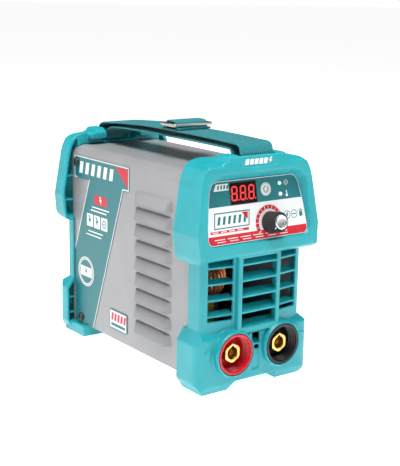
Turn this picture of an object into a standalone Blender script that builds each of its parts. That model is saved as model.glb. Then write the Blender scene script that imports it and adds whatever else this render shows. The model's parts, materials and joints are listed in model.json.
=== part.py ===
"""Stick welding inverter: a small shoulder-strap machine with a folded steel cover, two moulded end
bezels, a sloped control panel, two twist-lock output sockets and its power electronics inside.

+X is to the right of someone facing the control panel, the panel looks along -Y, and +Z is up.
The machine stands on its four moulded feet at Z = 0, with the origin at the middle of its footprint.
"""

import math

import bmesh
import bpy
from mathutils import Matrix, Vector

MM = 0.001
GAP = 0.3 * MM  # air between two pieces that rest on or fit into each other
ARC_STEP = math.radians(24)  # turn between two points of a rounded corner

# Folded steel cover, open at the bottom, and the tray that closes it
SHEET = 1.0 * MM
COVER_HALF = 43.8 * MM
COVER_TOP = 158.2 * MM
COVER_BOTTOM = 9.0 * MM
COVER_BEND = 9.0 * MM
COVER_FRONT = -84.0 * MM
COVER_REAR = 91.5 * MM
TRAY_FLANGE = 10.0 * MM
TRAY_SLOTS = 6
TRAY_SLOT_PITCH = 18.0 * MM

# Pressed louvres on both sides of the cover
LOUVRE_PITCH = 12.7 * MM
LOUVRE_FIRST_TOP = COVER_TOP - 22.4 * MM
LOUVRE_LAST_TOP = 30.0 * MM  # no louvre starts below this
LOUVRE_COUNT = 1 + int((LOUVRE_FIRST_TOP - LOUVRE_LAST_TOP) / LOUVRE_PITCH)
LOUVRE_HEIGHT = 9.2 * MM
LOUVRE_FRONT = COVER_FRONT + 31.0 * MM
LOUVRE_LENGTH = 49.0 * MM
LOUVRE_DEPTH = 4.4 * MM
LOUVRE_END = 5.0 * MM
LOUVRE_LIP = 1.6 * MM

# Outer sizes of the output sockets, which the bumper rises to
SHROUD_RADIUS = 15.4 * MM
BOSS_RADIUS = SHROUD_RADIUS + 1.8 * MM
SOCKET_Z = BOSS_RADIUS + 12.0 * MM

# Moulded bezels
WALL = 2.3 * MM
BUMPER_HALF = COVER_HALF + 8.2 * MM
BUMPER_TOP = SOCKET_Z + SHROUD_RADIUS + 1.9 * MM
BUMPER_SIDE_TOP = BUMPER_TOP - 8.5 * MM
BUMPER_CORNER = 8.0 * MM
FOOT_INNER = 22.6 * MM
FOOT_OUTER = BUMPER_HALF - 6.0 * MM
FOOT_CHAMFER = 9.0 * MM
ARCH_HEIGHT = 7.0 * MM
MID_HALF = COVER_HALF + 2.2 * MM
HOOD_BOTTOM = COVER_TOP - 62.7 * MM
HOOD_HALF = COVER_HALF + 11.4 * MM
HOOD_TOP = COVER_TOP + 9.8 * MM
HOOD_TOP_HALF = COVER_HALF + 1.7 * MM
HOOD_CHIN = 6.0 * MM  # height of the slope below the hood's face
HOOD_BROW = 3.0 * MM  # height of the slope above it
RIB = 1.6 * MM
# Height of each pair of ribs, and half the width there
BUMPER_RIBS = ((14.5 * MM, BUMPER_HALF), (28.0 * MM, BUMPER_HALF))
HOOD_RIBS = (
    (HOOD_BOTTOM + 16.5 * MM, HOOD_HALF - 0.8 * MM),
    (HOOD_BOTTOM + 36.5 * MM, HOOD_HALF - 2.4 * MM),
)

FRONT_BUMPER_REAR = COVER_FRONT + 13.0 * MM
FRONT_BUMPER_FACE = COVER_FRONT - 14.4 * MM
FRONT_MID_REAR = COVER_FRONT + 8.0 * MM
FRONT_HOOD_REAR = COVER_FRONT + 15.0 * MM
FRONT_HOOD_FACE_LOW = COVER_FRONT - 17.8 * MM
FRONT_HOOD_FACE_TOP = COVER_FRONT - 12.2 * MM
VENT_POST_X = COVER_HALF - 1.2 * MM
VENT_POST_Y = COVER_FRONT - 8.6 * MM
VENT_STEP_Y = COVER_FRONT - 12.2 * MM
COLUMN_HALF = 19.4 * MM
COLUMN_FACE = COVER_FRONT - 17.0 * MM
COLUMN_BOTTOM = BUMPER_TOP - 3.5 * MM
SLAT_PITCH = 11.8 * MM
SLAT_THICK = 1.8 * MM
SLAT_TILT = math.radians(24)
VENT_BOTTOM = BUMPER_TOP + MM
VENT_TOP = HOOD_BOTTOM + 3.0 * MM
SIDE_VENT_RISE = 6.0 * MM  # how much higher the side vents start
CENTRE_SLAT_TOP = HOOD_BOTTOM - 2.1 * MM
CENTRE_SLATS = 1 + int((CENTRE_SLAT_TOP - COLUMN_BOTTOM) / SLAT_PITCH)
SIDE_SLAT_TOP = HOOD_BOTTOM - 3.2 * MM
SIDE_SLATS = 1 + int((SIDE_SLAT_TOP - VENT_BOTTOM - SIDE_VENT_RISE) / SLAT_PITCH)

REAR_BEZEL_FRONT = COVER_REAR - 3.5 * MM
REAR_WALL_FACE = COVER_REAR + 4.5 * MM
REAR_FACE = REAR_WALL_FACE + 7.0 * MM
REAR_RECESS_HALF = COVER_HALF - 5.8 * MM
REAR_RECESS_BOTTOM = 14.0 * MM
REAR_RECESS_TOP = COVER_TOP - 8.2 * MM
REAR_FOOT_FRONT = COVER_REAR - 24.5 * MM
REAR_FOOT_OUTER = BUMPER_HALF - 3.6 * MM

# Strap seats on top of both bezels
STRAP_WIDTH = 30.0 * MM
STRAP_THICK = 1.7 * MM
STRAP_SIDE_CLEARANCE = 1.7 * MM
STRAP_BAR_CLEARANCE = 0.5 * MM
SADDLE_HALF = STRAP_WIDTH / 2 + 10.0 * MM
SADDLE_BASE_HALF = SADDLE_HALF + 6.0 * MM
SADDLE_TOP = HOOD_TOP + 3.5 * MM
SADDLE_LENGTH = 20.0 * MM
SADDLE_FRONT_FACE = COVER_FRONT - 12.6 * MM
SADDLE_REAR_FACE = REAR_FACE - 1.5 * MM
NAMEPLATE_HALF = SADDLE_HALF - 8.0 * MM
NAMEPLATE_HALF_HEIGHT = 3.2 * MM
NAMEPLATE_DEPTH = 1.2 * MM
BAR_DEPTH = 4.4 * MM
BAR_HEIGHT = 4.0 * MM
BAR_SETBACK = 5.4 * MM
STRAP_RUN_TOP = SADDLE_TOP + 7.8 * MM
STRAP_RUN_LOW = SADDLE_TOP + 3.4 * MM
STRAP_FRONT_DROP = 0.9 * MM
STRAP_REAR_DROP = 3.8 * MM

# Tri-glide buckle on the strap
BUCKLE_Y = -7.5 * MM
BUCKLE_WIDTH = STRAP_WIDTH + 7.0 * MM
BUCKLE_LENGTH = 20.0 * MM
BUCKLE_THICK = 2.4 * MM
BUCKLE_BAR = 3.0 * MM
BUCKLE_TRAVEL = 12.0 * MM
BUCKLE_SLOT_CLEARANCE = 0.6 * MM
FOLD_THICK = 1.5 * MM

# Control panel, a flat field that leans back
PANEL_LEAN = math.radians(11.1)
PANEL_BOTTOM_Y = FRONT_HOOD_FACE_LOW + 3.3 * MM
PANEL_BOTTOM_Z = HOOD_BOTTOM + 14.4 * MM
PANEL_HEIGHT = 45.0 * MM
PANEL_HALF = HOOD_HALF - 8.2 * MM
PANEL_TOP_HALF = HOOD_TOP_HALF - 4.5 * MM
PANEL_CORNER = 6.0 * MM
PANEL_TOP_CORNER = 11.0 * MM
PANEL_FLARE = 0.5  # how far the recess widens for each unit it comes forward
PANEL_FLARE_DEPTH = 12.0 * MM
OVERLAY_THICK = 0.6 * MM
KNOB_X = 10.3 * MM
KNOB_V = 11.6 * MM
KNOB_RADIUS = 8.0 * MM
KNOB_LENGTH = 11.5 * MM
KNOB_FLUTES = 16
KNOB_FLUTE_RADIUS = 0.6 * MM
KNOB_CAP_RADIUS = 5.4 * MM
KNOB_CAP_HEIGHT = 1.2 * MM
KNOB_LIFT = 0.8 * MM
SHAFT_RADIUS = 3.0 * MM
BUSHING_RADIUS = 4.2 * MM
POT_RADIUS = 8.0 * MM
POT_DEPTH = 7.6 * MM
DISPLAY_X = -11.0 * MM
DISPLAY_V = 35.0 * MM
DISPLAY_WIDTH = 23.0 * MM
DISPLAY_HEIGHT = 14.8 * MM
LED_X = 22.9 * MM
LED_V_HIGH = 38.9 * MM
LED_V_LOW = 31.0 * MM
LED_RADIUS = 1.5 * MM
BOARD_THICK = 1.6 * MM
CONTROL_BOARD_HALF = PANEL_HALF - 10.0 * MM
CONTROL_BOARD_BOTTOM = 2.0 * MM
CONTROL_BOARD_TOP = PANEL_HEIGHT - 3.0 * MM

# Twist-lock output sockets
SOCKET_X = BOSS_RADIUS + 4.7 * MM
SOCKET_FACE = FRONT_BUMPER_FACE - 5.1 * MM
SOCKET_SLOT_HALF = SOCKET_X - BOSS_RADIUS - 1.3 * MM  # half the width of the vent between the sockets
SOCKET_SLOT_TOP = SOCKET_Z + 11.8 * MM
SOCKET_SLOT_LOW = SOCKET_Z - 16.2 * MM
SOCKET_SLOT_OPEN = SOCKET_Z - 1.0 * MM  # the vent is open above this and only a recess below it
SOCKET_SLOT_RECESS = 1.2 * MM
SOCKET_SLOT_BRIDGE = SOCKET_Z + 2.8 * MM
SOCKET_SLOT_BRIDGE_DEPTH = 6.5 * MM
SHROUD_WALL = 2.1 * MM
SHROUD_DEPTH = 12.5 * MM
SHROUD_FLOOR = 3.0 * MM
INSERT_ACROSS_FLATS = 13.2 * MM
INSERT_SETBACK = 4.6 * MM
INSERT_BORE_RADIUS = 4.3 * MM
INSERT_BORE_DEPTH = 14.0 * MM
STUD_RADIUS = 5.0 * MM
NUT_ACROSS_FLATS = 16.0 * MM
NUT_THICK = 5.5 * MM
BUSBAR_THICK = 2.5 * MM
BUSBAR_WIDTH = 15.0 * MM
BUSBAR_REACH = 11.0 * MM

# Raised polarity marks on the bumper
MARK_X = (SOCKET_X + BOSS_RADIUS + BUMPER_HALF) / 2 - 2.15 * MM
MARK_Z = SOCKET_Z + 3.8 * MM
MARK_RELIEF = 0.6 * MM
MARK_ARM = 3.2 * MM
MARK_STROKE = 0.7 * MM

# Power electronics
STANDOFF_HEIGHT = 10.0 * MM
STANDOFF_RADIUS = 3.0 * MM
BOARD_HALF = COVER_HALF - 4.8 * MM
BOARD_FRONT = COVER_FRONT + 16.0 * MM
BOARD_REAR = COVER_REAR - 16.5 * MM
STANDOFF_INSET = 5.0 * MM
CORE_WIDTH = 36.0 * MM
TRANSFORMER_X = CORE_WIDTH / 2 - BOARD_HALF - 0.5 * MM
TRANSFORMER_Y = BOARD_FRONT + 21.0 * MM
CORE_DEPTH = 20.0 * MM
CORE_HEIGHT = 42.0 * MM
CORE_LIMB = 6.5 * MM
WINDING_DEPTH = 32.0 * MM
CHOKE_Y = BOARD_FRONT + 10.0 * MM
CHOKE_RADIUS = 16.6 * MM
CHOKE_HOLE = 8.6 * MM
CHOKE_HEIGHT = 15.0 * MM
CHOKE_WIRE = 2.2 * MM
CHOKE_TURNS = 22
PAD_THICK = 2.0 * MM
HEATSINK_FRONT = TRANSFORMER_Y + 22.0 * MM
HEATSINK_LENGTH = 54.0 * MM
HEATSINK_HEIGHT = 58.0 * MM
HEATSINK_PLATE = 4.0 * MM
HEATSINK_FIN = 1.6 * MM
HEATSINK_FINS = 9
HEATSINK_INNER = 9.0 * MM
HEATSINK_OUTER = BOARD_HALF - 4.0 * MM
DEVICE_WIDTH = 16.0 * MM
DEVICE_HEIGHT = 21.0 * MM
DEVICE_THICK = 5.0 * MM
CAPACITOR_X = 21.0 * MM
CAPACITOR_Y = HEATSINK_FRONT + HEATSINK_LENGTH + 17.0 * MM
CAPACITOR_RADIUS = 12.5 * MM
CAPACITOR_HEIGHT = 42.0 * MM
BRIDGE_SIZE = (6.0 * MM, 26.0 * MM, 20.0 * MM)
RELAY_SIZE = (28.0 * MM, 12.0 * MM, 15.0 * MM)
RELAY_Y = BOARD_REAR - 7.5 * MM

# Fan, switch and cable entry at the rear
FAN_Z = 72.0 * MM
FAN_SIZE = 60.0 * MM
FAN_DEPTH = 14.0 * MM
FAN_BORE = FAN_SIZE / 2 - 1.4 * MM
FAN_HUB = 12.0 * MM
FAN_BLADES = 7
FAN_TIP_CLEARANCE = 1.0 * MM
FAN_SPOKE = 2.0 * MM
FAN_ROOM_HALF = FAN_SIZE / 2 + 5.7 * MM  # hollow behind the rear wall that the fan stands in
GRILLE_RADIUS = FAN_BORE - 2.6 * MM
GRILLE_SLOT = 3.4 * MM
GRILLE_PITCH = 5.6 * MM
SWITCH_X = -20.0 * MM
SWITCH_Z = COVER_TOP - 32.2 * MM
SWITCH_WIDTH = 21.0 * MM
SWITCH_HEIGHT = 15.0 * MM
SWITCH_FLANGE = 1.8 * MM
SWITCH_DEPTH = 16.0 * MM
ROCKER_TIP = math.radians(9)  # tipped to the off side; it swings as far to the on side
GLAND_X = 20.0 * MM
GLAND_Z = SWITCH_Z
GLAND_RADIUS = 8.0 * MM
GLAND_BORE = 4.2 * MM
GLAND_LENGTH = 13.0 * MM
GLAND_NUT_AF = 20.0 * MM

# Cover screws
SCREW_HEAD = 3.4 * MM
SCREW_HEAD_HEIGHT = 2.2 * MM
SCREW_SHANK = 1.8 * MM
SCREW_LENGTH = 6.0 * MM
SCREW_UPPER = (COVER_REAR - 8.1 * MM, COVER_TOP - 13.1 * MM)
SCREW_LOWER = (COVER_REAR - 14.2 * MM, COVER_BOTTOM + 5.4 * MM)
LUG_SIZE = 11.0 * MM
LUG_THICK = 5.5 * MM
LUG_CLEARANCE = 1.0 * MM
LABEL_THICK = 0.4 * MM
LABEL_REAR = COVER_REAR - 4.5 * MM
LABEL_FRONT = COVER_FRONT + 88.6 * MM
LABEL_TOP = COVER_TOP - 7.4 * MM
LABEL_BAR_LOW = COVER_TOP - 25.7 * MM
LABEL_BOTTOM = COVER_BOTTOM + MM

FINISHES = {
    "teal_abs": ((0.035, 0.42, 0.46), 0.38, 0.0),
    "painted_steel": ((0.50, 0.50, 0.50), 0.42, 0.35),
    "zinc_steel": ((0.60, 0.62, 0.64), 0.35, 0.9),
    "black_plastic": ((0.016, 0.016, 0.018), 0.40, 0.0),
    "red_plastic": ((0.72, 0.03, 0.05), 0.35, 0.0),
    "brass": ((0.72, 0.52, 0.20), 0.28, 1.0),
    "copper": ((0.80, 0.36, 0.18), 0.30, 1.0),
    "silver_cap": ((0.82, 0.83, 0.84), 0.30, 0.8),
    "printed_label": ((0.02, 0.22, 0.24), 0.45, 0.0),
    "display_lens": ((0.05, 0.005, 0.006), 0.12, 0.0),
    "led_lens": ((0.85, 0.86, 0.84), 0.15, 0.0),
    "circuit_board": ((0.02, 0.20, 0.08), 0.50, 0.0),
    "ferrite": ((0.05, 0.05, 0.055), 0.65, 0.0),
    "winding_tape": ((0.55, 0.03, 0.03), 0.45, 0.0),
    "aluminium": ((0.80, 0.81, 0.82), 0.35, 1.0),
    "capacitor_sleeve": ((0.02, 0.03, 0.08), 0.35, 0.0),
    "webbing": ((0.02, 0.33, 0.36), 0.80, 0.0),
    "buckle_metal": ((0.45, 0.43, 0.41), 0.32, 0.8),
    "fibre_board": ((0.60, 0.42, 0.22), 0.70, 0.0),
}


# ---- outlines -------------------------------------------------------------------------------------


def rounded(corners):
    """A closed outline from (a, b) or (a, b, radius) corners, with an arc at each radius."""
    outline = []
    for index, corner in enumerate(corners):
        here = Vector(corner[:2])
        radius = corner[2] if len(corner) > 2 else 0.0
        if radius <= 0.0:
            outline.append(tuple(here))
            continue
        before = (Vector(corners[index - 1][:2]) - here).normalized()
        after = (Vector(corners[(index + 1) % len(corners)][:2]) - here).normalized()
        half = before.angle(after) / 2
        centre = here + (before + after).normalized() * radius / math.sin(half)
        start = here + before * radius / math.tan(half) - centre
        turn = math.pi - 2 * half
        if before.x * after.y - before.y * after.x > 0:
            turn = -turn
        steps = max(1, round(abs(turn) / ARC_STEP))
        for step in range(steps + 1):
            outline.append(tuple(centre + Matrix.Rotation(turn * step / steps, 2) @ start))
    return outline


def both_sides(right_half):
    """A closed outline from its right half, listed from the bottom up, and the mirrored left half."""
    left_half = [(-corner[0], *corner[1:]) for corner in reversed(right_half)]
    return rounded([*right_half, *left_half])


def circle(radius, count, centre=(0.0, 0.0), turn=0.0):
    """Points on a circle."""
    angles = [turn + 2 * math.pi * index / count for index in range(count)]
    return [(centre[0] + radius * math.cos(a), centre[1] + radius * math.sin(a)) for a in angles]


def plus_outline(arm, half_stroke, centre):
    """A plus sign about a centre."""
    corners = []
    for a, b in ((1, -1), (1, 1), (-1, 1), (-1, -1)):
        spread = [(arm * a, half_stroke * b), (half_stroke * a, half_stroke * b), (half_stroke * a, arm * b)]
        corners += spread if a * b > 0 else spread[::-1]
    return [(centre[0] + a, centre[1] + b) for a, b in corners]


def rectangle(half_width, half_height, centre=(0.0, 0.0), radius=0.0):
    """A rectangle about a centre."""
    signs = ((-1, -1), (1, -1), (1, 1), (-1, 1))
    corners = [(centre[0] + a * half_width, centre[1] + b * half_height, radius) for a, b in signs]
    return rounded(corners)


# ---- solids ---------------------------------------------------------------------------------------


def along(axis, distance, a, b):
    """A point at a distance along an axis, with the outline's a and b on the other two axes."""
    return {"X": (distance, a, b), "Y": (a, distance, b), "Z": (a, b, distance)}[axis]


def keep(bm, name="tool"):
    """Turns a bmesh into an object whose faces point outwards."""
    bmesh.ops.recalc_face_normals(bm, faces=bm.faces)
    mesh = bpy.data.meshes.new(name)
    bm.to_mesh(mesh)
    bm.free()
    obj = bpy.data.objects.new(name, mesh)
    bpy.context.scene.collection.objects.link(obj)
    return obj


def prism(outline, axis, start, end):
    """An outline drawn straight along an axis."""
    bm = bmesh.new()
    face = bm.faces.new([bm.verts.new(along(axis, start, a, b)) for a, b in outline])
    drawn = bmesh.ops.extrude_face_region(bm, geom=[face])["geom"]
    moved = [item for item in drawn if isinstance(item, bmesh.types.BMVert)]
    bmesh.ops.translate(bm, verts=moved, vec=Vector(along(axis, end - start, 0, 0)))
    return keep(bm)


def loft(low_outline, low, high_outline, high):
    """A solid between two outlines with the same number of points, at two heights."""
    bm = bmesh.new()
    levels = ((low_outline, low), (high_outline, high))
    ends = [[bm.verts.new((a, b, z)) for a, b in outline] for outline, z in levels]
    for end in ends:
        bm.faces.new(end)
    count = len(ends[0])
    for index in range(count):
        after = (index + 1) % count
        bm.faces.new((ends[0][index], ends[0][after], ends[1][after], ends[1][index]))
    return keep(bm)


def box(x, y, z):
    """A block between two values on each axis."""
    return prism([(x[0], y[0]), (x[1], y[0]), (x[1], y[1]), (x[0], y[1])], "Z", z[0], z[1])


def turned(profile, axis, centre=(0.0, 0.0), count=32):
    """A solid of revolution from (distance along the axis, radius) points that start and end on it."""
    bm = bmesh.new()
    rings = []
    for distance, radius in profile:
        if radius == 0.0:
            rings.append([bm.verts.new(along(axis, distance, *centre))])
        else:
            ring = circle(radius, count, centre)
            rings.append([bm.verts.new(along(axis, distance, a, b)) for a, b in ring])
    for low, high in zip(rings, rings[1:]):
        for index in range(count):
            after = (index + 1) % count
            corners = [low[index % len(low)], low[after % len(low)]]
            corners += [high[after % len(high)], high[index % len(high)]]
            bm.faces.new(list(dict.fromkeys(corners)))
    return keep(bm)


def band(path, half_width, thickness, closed):
    """A flat strip of even thickness along a path in the YZ plane, as wide as twice half_width in X."""
    count = len(path)
    bm = bmesh.new()
    rings = []
    for index in range(count):
        before = Vector(path[index - 1] if closed or index else path[index])
        after = Vector(path[(index + 1) % count] if closed or index < count - 1 else path[index])
        run = (after - before).normalized()
        side = Vector((-run.y, run.x)) * thickness / 2
        here = Vector(path[index])
        corners = ((-1, 1), (1, 1), (1, -1), (-1, -1))
        rings.append([bm.verts.new((x * half_width, *(here + side * s))) for x, s in corners])
    if not closed:
        bm.faces.new(rings[0])
        bm.faces.new(rings[-1])
    for index in range(count if closed else count - 1):
        low, high = rings[index], rings[(index + 1) % count]
        for side_index in range(4):
            other = (side_index + 1) % 4
            bm.faces.new((low[side_index], low[other], high[other], high[side_index]))
    return keep(bm)


def combine(target, operation, *tools):
    """Applies a Boolean with each tool in turn and removes the tools."""
    for tool in tools:
        modifier = target.modifiers.new(operation, "BOOLEAN")
        modifier.operation = operation
        modifier.solver = "EXACT"
        modifier.object = tool
    graph = bpy.context.evaluated_depsgraph_get()
    mesh = bpy.data.meshes.new_from_object(target.evaluated_get(graph))
    target.modifiers.clear()
    target.data = mesh
    for tool in tools:
        bpy.data.objects.remove(tool, do_unlink=True)
    return target


def cut(target, *tools):
    """Takes the tools out of the target."""
    return combine(target, "DIFFERENCE", *tools)


def join(target, *tools):
    """Fuses the tools with the target."""
    return combine(target, "UNION", *tools)


def common(target, *tools):
    """Keeps what the target and every tool share."""
    return combine(target, "INTERSECT", *tools)


def shape(tool, matrix):
    """Moves a helper's mesh by a matrix."""
    tool.data.transform(matrix)
    return tool


def name_part(obj, name, finish, parent=None, bevel=0.0):
    """Makes an object one of the named parts, with its finish."""
    obj.name = name
    obj.data.name = name
    obj.data.materials.clear()
    obj.data.materials.append(FINISH_MATERIALS[finish])
    if parent is not None:
        obj.parent = parent
    if bevel > 0.0:
        edge = obj.modifiers.new("edge", "BEVEL")
        edge.width = bevel
        edge.segments = 1
        edge.limit_method = "ANGLE"
        edge.angle_limit = math.radians(50)
    obj.data.shade_smooth()
    obj.data.set_sharp_from_angle(angle=math.radians(30))
    return obj


def frame_empty(name, matrix, parent=None):
    """An empty that carries the pieces which share one place or one axis."""
    empty = bpy.data.objects.new(name, None)
    bpy.context.scene.collection.objects.link(empty)
    empty.empty_display_size = 10 * MM
    empty.parent = parent
    empty.matrix_local = matrix
    return empty


def make_materials():
    """A Principled material for each finish."""
    made = {}
    for name, (colour, roughness, metallic) in FINISHES.items():
        material = bpy.data.materials.new(name)
        material.use_nodes = True
        shader = material.node_tree.nodes["Principled BSDF"]
        shader.inputs["Base Color"].default_value = (*colour, 1.0)
        shader.inputs["Roughness"].default_value = roughness
        shader.inputs["Metallic"].default_value = metallic
        made[name] = material
    return made


# ---- steel cover and tray ---------------------------------------------------------------------------


def cover_outline(grow):
    """The cover's outer outline in XZ, grown outwards."""
    half = COVER_HALF + grow
    return both_sides([(half, COVER_BOTTOM - max(grow, 0.0)), (half, COVER_TOP + grow, COVER_BEND + grow)])


def louvre_hoods(side, grow):
    """The wedge hoods of one side: closed at the top and ends, open below."""
    wall = side * (COVER_HALF - SHEET / 2)
    reach = side * (COVER_HALF + LOUVRE_DEPTH - grow)
    hoods = []
    for index in range(LOUVRE_COUNT):
        top = LOUVRE_FIRST_TOP - index * LOUVRE_PITCH
        low = top - LOUVRE_HEIGHT
        inner = side * (COVER_HALF - 3 * SHEET) if grow else wall
        foot = low - (SHEET if grow else 0.0)
        section = [(inner, foot), (reach, foot), (reach, low + LOUVRE_LIP - grow), (wall, top - grow)]
        if grow:
            section.append((inner, top - grow))
        hood = prism(section, "Y", LOUVRE_FRONT + grow, LOUVRE_FRONT + LOUVRE_LENGTH - grow)
        start, end = LOUVRE_FRONT + grow, LOUVRE_FRONT + LOUVRE_LENGTH - grow
        plan = [
            (inner, start),
            (side * COVER_HALF, start),
            (reach, start + LOUVRE_END),
            (reach, end - LOUVRE_END / 2),
            (side * COVER_HALF, end),
            (inner, end),
        ]
        hoods.append(common(hood, prism(plan, "Z", foot - SHEET, top + SHEET)))
    return hoods


def screw_places():
    """(side, y, z) of each cover screw."""
    return [(side, *place) for side in (-1, 1) for place in (SCREW_UPPER, SCREW_LOWER)]


def screw_hole(side, y, z):
    """A clearance hole through the side of the cover and what is behind it."""
    reach = sorted((side * (COVER_HALF - 20 * MM), side * (COVER_HALF + 5 * MM)))
    return prism(circle(SCREW_SHANK + GAP, 12, (y, z)), "X", reach[0], reach[1])


def make_cover(parent):
    """The folded cover with its louvres."""
    cover = prism(cover_outline(0.0), "Y", COVER_FRONT, COVER_REAR)
    inside = cover_outline(-SHEET)
    inside = [(x, z if z > COVER_BOTTOM + SHEET else z - 5 * MM) for x, z in inside]
    cut(cover, prism(inside, "Y", COVER_FRONT - 5 * MM, COVER_REAR + 5 * MM))
    for side in (-1, 1):
        join(cover, *louvre_hoods(side, 0.0))
        cut(cover, *louvre_hoods(side, 0.8 * MM))
    cut(cover, *[screw_hole(*place) for place in screw_places()])
    name_part(cover, "casing_cover", "painted_steel", parent)


def make_tray(parent):
    """The tray under the cover, with an upturned flange on each side and air slots."""
    half = COVER_HALF - SHEET - GAP
    low, top = COVER_BOTTOM, COVER_BOTTOM + TRAY_FLANGE
    section = both_sides([(half, low), (half, top), (half - SHEET, top), (half - SHEET, low + SHEET)])
    tray = prism(section, "Y", COVER_FRONT, COVER_REAR)
    slots = []
    for row in range(TRAY_SLOTS):
        y = BOARD_FRONT + 25 * MM + row * TRAY_SLOT_PITCH
        slots.append(prism(rectangle(16 * MM, 2 * MM, (0, y)), "Z", low - SHEET, low + 2 * SHEET))
    cut(tray, *slots)
    cut(tray, *[screw_hole(*place) for place in screw_places() if place[2] < top])
    name_part(tray, "base_tray", "zinc_steel", parent)


def make_screws(parent):
    """Pan-head screws with a cross recess through the cover's sides."""
    for side, y, z in screw_places():
        head = COVER_HALF + GAP
        outer = head + SCREW_HEAD_HEIGHT
        profile = [(head - SHEET - SCREW_LENGTH, 0.0), (head - SHEET - SCREW_LENGTH, SCREW_SHANK)]
        profile += [(head, SCREW_SHANK), (head, SCREW_HEAD), (head + 0.5 * SCREW_HEAD_HEIGHT, SCREW_HEAD)]
        profile += [(outer, 0.6 * SCREW_HEAD), (outer, 0.0)]
        screw = turned([(side * distance, radius) for distance, radius in profile], "X", (y, z), 12)
        reach = sorted((side * (outer - 0.9 * MM), side * (outer + MM)))
        cut(screw, prism(plus_outline(1.7 * MM, 0.4 * MM, (y, z)), "X", reach[0], reach[1]))
        hand = "left" if side < 0 else "right"
        place = "upper" if z > FAN_Z else "lower"
        name_part(screw, f"casing_screw_{hand}_{place}", "black_plastic", parent)


def make_side_labels(parent):
    """The printed T-shaped label on each side of the cover."""
    front, rear = LABEL_FRONT, LABEL_REAR
    top, low, edge = LABEL_TOP, LABEL_BAR_LOW, LABEL_BOTTOM
    outline = [(rear, top), (front, top), (front, low), (front + 8.7 * MM, low - MM)]
    outline += [(rear - 29.0 * MM, edge), (rear, edge), (rear, edge + 61.0 * MM)]
    outline += [(rear - 24.2 * MM, low), (rear, low)]
    for side in (-1, 1):
        start, end = sorted((side * (COVER_HALF + GAP / 3), side * (COVER_HALF + GAP / 3 + LABEL_THICK)))
        label = prism(outline, "X", start, end)
        for place in (SCREW_UPPER, SCREW_LOWER):
            cut(label, prism(circle(SCREW_HEAD + GAP, 16, place), "X", start - MM, end + MM))
        name_part(label, "side_label_left" if side < 0 else "side_label_right", "printed_label", parent)


# ---- bezel blocks -----------------------------------------------------------------------------------


def bumper_block(rear, face, inset):
    """The lower bumper with its two feet. The inset gives the hollow inside it."""
    half = BUMPER_HALF - inset
    out = 1 if face > rear else -1
    top = BUMPER_TOP - inset
    side_top = BUMPER_SIDE_TOP - inset / 2
    if inset:
        rear -= out * 5 * MM
        floor = COVER_BOTTOM - GAP
        front_view = [(half, floor), (half, side_top), (MID_HALF - inset, top)]
    else:
        front_view = [(FOOT_INNER - 3.6 * MM, ARCH_HEIGHT), (FOOT_INNER, 0.0), (FOOT_OUTER, 0.0, 2 * MM)]
        front_view += [(half, FOOT_CHAMFER, 3 * MM), (half, side_top, 2 * MM), (MID_HALF, top)]
    face -= out * inset
    block = prism(both_sides(front_view), "Y", *sorted((rear, face)))
    corner = max(BUMPER_CORNER - inset, MM)
    plan = [(half, rear), (half, face, corner)]
    common(block, prism(both_sides(plan), "Z", -MM, BUMPER_TOP + MM))
    if inset:
        side_view = [(rear, 0.0), (face, 0.0), (face, top - 4 * MM), (face - out * 8 * MM, top), (rear, top)]
    else:
        side_view = [(rear, -MM), (rear, 0.0), (face - out * 4.4 * MM, 0.0), (face, 6.5 * MM, 2 * MM)]
        side_view += [(face, top - 5 * MM, 2 * MM), (face - out * 8 * MM, top), (rear, top)]
        side_view = side_view[1:]
    common(block, prism(rounded(side_view), "X", -2 * half, 2 * half))
    return block


def hood_block(rear, face_low, face_top, inset):
    """The upper hood: wide below, drawn in at the shoulders, with a face that may lean back."""
    out = 1 if face_low > rear else -1
    if inset:
        rear -= out * 5 * MM
    low = HOOD_BOTTOM + inset
    top = HOOD_TOP - inset
    front_view = [
        (HOOD_HALF - 2.2 * MM - inset, low, max(7 * MM - inset, MM)),
        (HOOD_HALF - inset, low + 22 * MM),
        (HOOD_HALF - 5.4 * MM - inset, low + 57 * MM - 2 * inset, 24 * MM),
        (HOOD_TOP_HALF - inset, top, 14 * MM - inset),
    ]
    block = prism(both_sides(front_view), "Y", *sorted((rear, face_low)))
    face_low -= out * inset
    face_top -= out * inset
    side_view = [(rear, low - 2 * MM), (face_low - out * 5 * MM, low + HOOD_CHIN / 2)]
    side_view += [(face_low, low + HOOD_CHIN, 2 * MM), (face_top, top - HOOD_BROW, 3 * MM)]
    side_view += [(face_top - out * 6 * MM, top), (rear, top)]
    common(block, prism(rounded(side_view), "X", -2 * HOOD_HALF, 2 * HOOD_HALF))
    return block


def saddle_block(face, out):
    """The raised seat for the strap, with concave flanks and a bar that the strap goes round."""
    inner = face - out * SADDLE_LENGTH
    front_view = [
        (SADDLE_BASE_HALF, HOOD_TOP - 5 * MM),
        (SADDLE_BASE_HALF, HOOD_TOP - 1.5 * MM),
        (SADDLE_HALF + 1.5 * MM, HOOD_TOP + 0.5 * MM),
        (SADDLE_HALF, SADDLE_TOP, 3 * MM),
    ]
    block = prism(both_sides(front_view), "Y", *sorted((inner, face)))
    low = HOOD_TOP - 6 * MM
    side_view = [(inner, low), (face, low), (face - out * 2.2 * MM, SADDLE_TOP, 2 * MM)]
    side_view += [(inner + out * 5 * MM, SADDLE_TOP, 2 * MM), (inner, HOOD_TOP)]
    common(block, prism(rounded(side_view), "X", -SADDLE_BASE_HALF * 2, SADDLE_BASE_HALF * 2))
    return block


def bar_centre(face, out):
    """(y, z) of the middle of the bar inside a saddle."""
    return face - out * (BAR_SETBACK + BAR_DEPTH / 2), SADDLE_TOP - 1.5 * MM - BAR_HEIGHT / 2


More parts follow.
